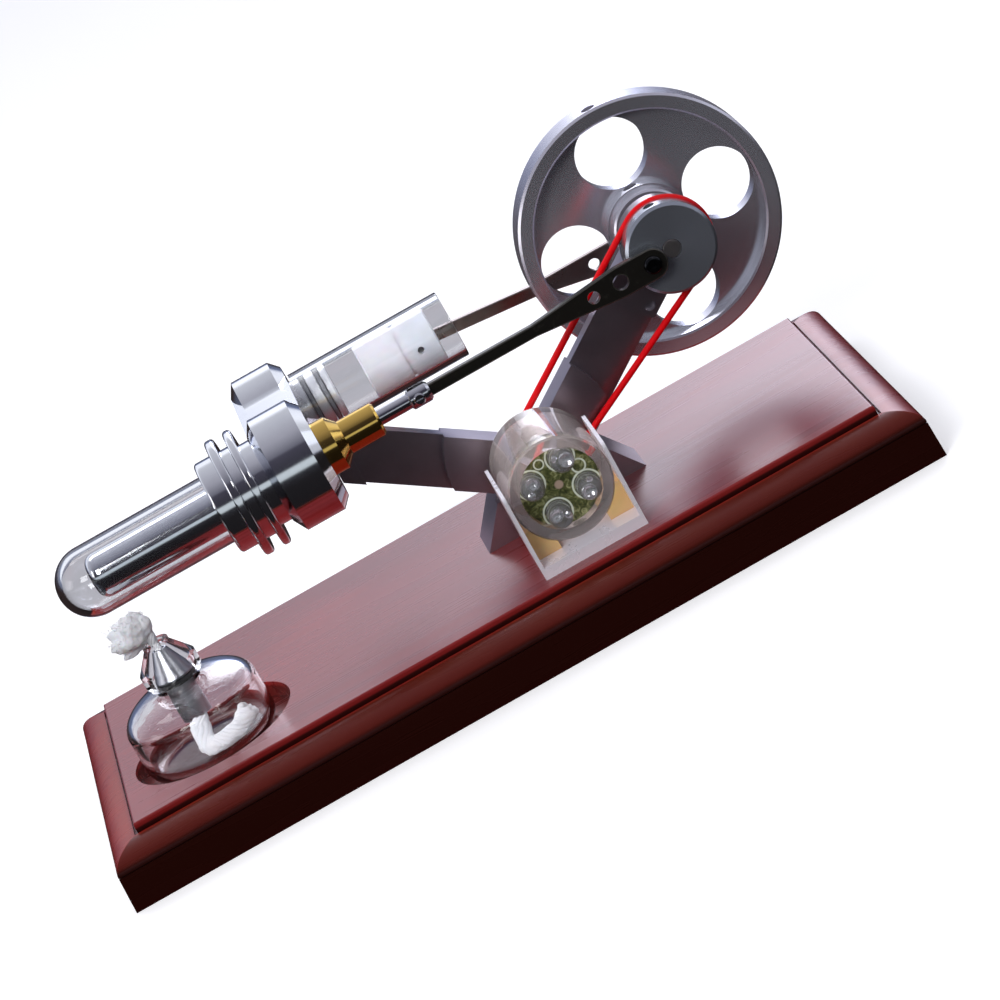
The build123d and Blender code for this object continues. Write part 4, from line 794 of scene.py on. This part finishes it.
# The fluff stays clear of the hot tube above it, wherever the burner stands in its recess.
FLUFF_TOP = 45.0 * MM
FLUFF_HAIRS = 520
FLUFF_RADII = [0.06 * MM, 0.05 * MM, 0.02 * MM]
shells = []
for _ in range(FLUFF_HAIRS):
    direction, length, girth = TUFTS[dice.randrange(len(TUFTS))]
    lead = Vector(direction).normalized()
    u = dice.uniform(0.25, 1.0)
    out = Vector([dice.gauss(0, 1) for _ in range(3)])
    out = (out - lead * out.dot(lead) * 0.5).normalized()
    start = ROOT + lead * length * TUFT_REACH * u + out * tuft_radius(girth, u) * 0.86
    bend = Vector([dice.uniform(-0.5, 0.5) * MM for _ in range(3)])
    end = start + (out * 0.5 + lead * dice.uniform(0.1, 1.0)) * dice.uniform(0.35, 0.85) * MM + bend * 0.5
    if max(start.z, end.z) < FLUFF_TOP:
        shells.append(tube_along([start, (start + end) / 2 + bend * 0.4, end], FLUFF_RADII, 5))
piece("wick_fluff", *merge(shells), cotton_look, "burner", "cotton")

# ---------------------------------------------------------------- floor, light and camera


def soft_floor():
    """A pale floor that only the camera sees as it is: mirrors skip it, and glass dims it."""
    look = Look("pale_floor", Specular_IOR_Level=0.1, Roughness=0.9)
    tone = look.mix(look.noise(6.0, 3.0), (0.90, 0.90, 0.91), (0.93, 0.93, 0.93))
    look.fix(Base_Color=tone, Emission_Color=(1.0, 0.985, 0.965), Emission_Strength=0.34)
    path = look.add("ShaderNodeLightPath")
    bounced = look.math("ADD", path.outputs["Glossy Depth"], path.outputs["Diffuse Depth"], clamp=True)
    through_glass = look.math("MINIMUM", path.outputs["Transmission Depth"], 0.85)
    dim = look.add("ShaderNodeEmission")
    dim.inputs["Color"].default_value = (0.40, 0.385, 0.43, 1.0)
    clear = look.add("ShaderNodeBsdfTransparent")
    surface = look.shader
    for amount, other in ((through_glass, dim), (bounced, clear)):
        both = look.add("ShaderNodeMixShader")
        look.feed(both.inputs[0], amount)
        look.tree.links.new(surface.outputs[0], both.inputs[1])
        look.tree.links.new(other.outputs[0], both.inputs[2])
        surface = both
    look.tree.links.new(surface.outputs[0], look.output.inputs["Surface"])
    return look


FLOOR_HALF = 6.0
floor_mesh = bpy.data.meshes.new("floor")
corners = [(x * FLOOR_HALF, y * FLOOR_HALF, 0) for x, y in ((-1, -1), (1, -1), (1, 1), (-1, 1))]
floor_mesh.from_pydata(corners, [], [(0, 1, 2, 3)])
floor = bpy.data.objects.new("floor", floor_mesh)
bpy.context.scene.collection.objects.link(floor)
floor_mesh.materials.append(soft_floor().material)
floor.visible_glossy = False
floor.visible_diffuse = False

world = bpy.data.worlds.new("studio")
bpy.context.scene.world = world
world.use_nodes = True


class Sky(Look):
    """The studio: dark in front and below, a soft box above and behind, and a thin strip low in front."""

    def __init__(self, tree):
        self.tree = tree
        self.tree.nodes.clear()
        self.place = self.add("ShaderNodeTexCoord").outputs["Generated"]


sky = Sky(world.node_tree)
x, y, z = sky.split()
front = sky.math("MULTIPLY", y, -1.0)
part_turn = sky.math("DIVIDE", sky.math("ARCTAN2", z, front), 2.0 * math.pi)
turn = sky.math("FRACT", sky.math("ADD", part_turn, 0.25))


def at(degrees):
    """The ramp position of an angle from the front horizon (0), over the top (90), to the back (180)."""
    return ((degrees + 90.0) / 360.0) % 1.0


ring = sky.ramp(
    turn,
    (at(-90), (0.010, 0.009, 0.010)),
    (at(-14), (0.014, 0.013, 0.015)),
    (at(2.0), (0.026, 0.026, 0.032)),
    (at(4.0), (0.56, 0.62, 0.66)),
    (at(15.0), (0.60, 0.66, 0.70)),
    (at(18.0), (0.035, 0.034, 0.046)),
    (at(45), (0.060, 0.057, 0.080)),
    (at(49), (0.150, 0.150, 0.190)),
    (at(75), (0.36, 0.36, 0.42)),
    (at(110), (0.52, 0.53, 0.60)),
    (at(150), (0.66, 0.68, 0.74)),
    (at(164), (0.60, 0.62, 0.70)),
    (at(169), (0.12, 0.15, 0.27)),
    (at(176), (0.12, 0.14, 0.22)),
    (at(184), (0.03, 0.02, 0.02)),
    (at(269), (0.010, 0.009, 0.010)),
)
# Behind the object, a card that brightens to the right and fades past its right edge
height_fade = sky.math("MULTIPLY", sky.span(z, 0.15, 0.24), sky.span(z, 0.75, 0.55))
behind = sky.math("MULTIPLY", sky.span(y, 0.35, 0.6), height_fade)
gain = sky.math("MULTIPLY", sky.span(x, -0.06, 0.22), sky.span(x, 0.50, 0.28, 0.0, 6.6))
glow = sky.math("ADD", sky.math("MULTIPLY", behind, sky.math("ADD", gain, 0.5)), 1.0)
shade = sky.add("ShaderNodeBackground")
sky.feed(shade.inputs[0], ring)
sky.feed(shade.inputs[1], glow)
sky.tree.links.new(shade.outputs[0], sky.add("ShaderNodeOutputWorld").inputs[0])


def soft_box(name, place, target, size, radiance, color=(1.0, 1.0, 1.0), mirrored=True):
    """An area light that the camera doesn't see. One that isn't mirrored leaves the bright metal alone."""
    data = bpy.data.lights.new(name, "AREA")
    data.shape = "RECTANGLE"
    data.size, data.size_y = size
    data.energy = radiance * math.pi * size[0] * size[1]
    data.color = color
    lamp = bpy.data.objects.new(name, data)
    bpy.context.scene.collection.objects.link(lamp)
    lamp.location = place
    lamp.rotation_mode = "QUATERNION"
    lamp.rotation_quaternion = (Vector(target) - Vector(place)).to_track_quat("-Z", "Y")
    lamp.visible_camera = False
    lamp.visible_glossy = mirrored


ENGINE = (0, 0, 0.03)
WHEEL = (SHAFT_X, 0, AXIS_Z)
soft_box("key", (-0.20, 0.50, 0.85), ENGINE, (0.60, 0.30), 2.4, mirrored=False)
soft_box("front", (-0.35, -0.70, 0.55), (0, 0, 0.04), (0.40, 0.30), 12.0, mirrored=False)
soft_box("glint", (0.50, -0.60, 0.66), WHEEL, (0.16, 0.16), 7.0)
soft_box("left", (-0.75, -0.12, 0.30), ENGINE, (0.26, 0.30), 1.7, color=(1.0, 0.98, 0.97))
soft_box("right", (0.80, 0.10, 0.32), ENGINE, (0.30, 0.30), 0.55, color=(0.82, 0.88, 1.0))

# The camera stands in front and looks down a little. Its roll, in degrees, makes the base climb to the right.
CAMERA_PLACE = (2.219 * MM, -871.53 * MM, 313.21 * MM)
CAMERA_TURN, CAMERA_TILT, CAMERA_ROLL = -0.576, 18.435, -29.304

camera_data = bpy.data.cameras.new("camera")
camera_data.sensor_width = 36.0
camera_data.lens = 160.2
camera_data.clip_start, camera_data.clip_end = 0.01, 20.0
camera = bpy.data.objects.new("camera", camera_data)
bpy.context.scene.collection.objects.link(camera)
camera.matrix_world = (
    Matrix.Translation(CAMERA_PLACE)
    @ Matrix.Rotation(math.radians(CAMERA_TURN), 4, "Z")
    @ Matrix.Rotation(math.radians(90.0 - CAMERA_TILT), 4, "X")
    @ Matrix.Rotation(math.radians(CAMERA_ROLL), 4, "Z")
)
bpy.context.scene.camera = camera
bpy.context.scene.view_settings.view_transform = "Standard"
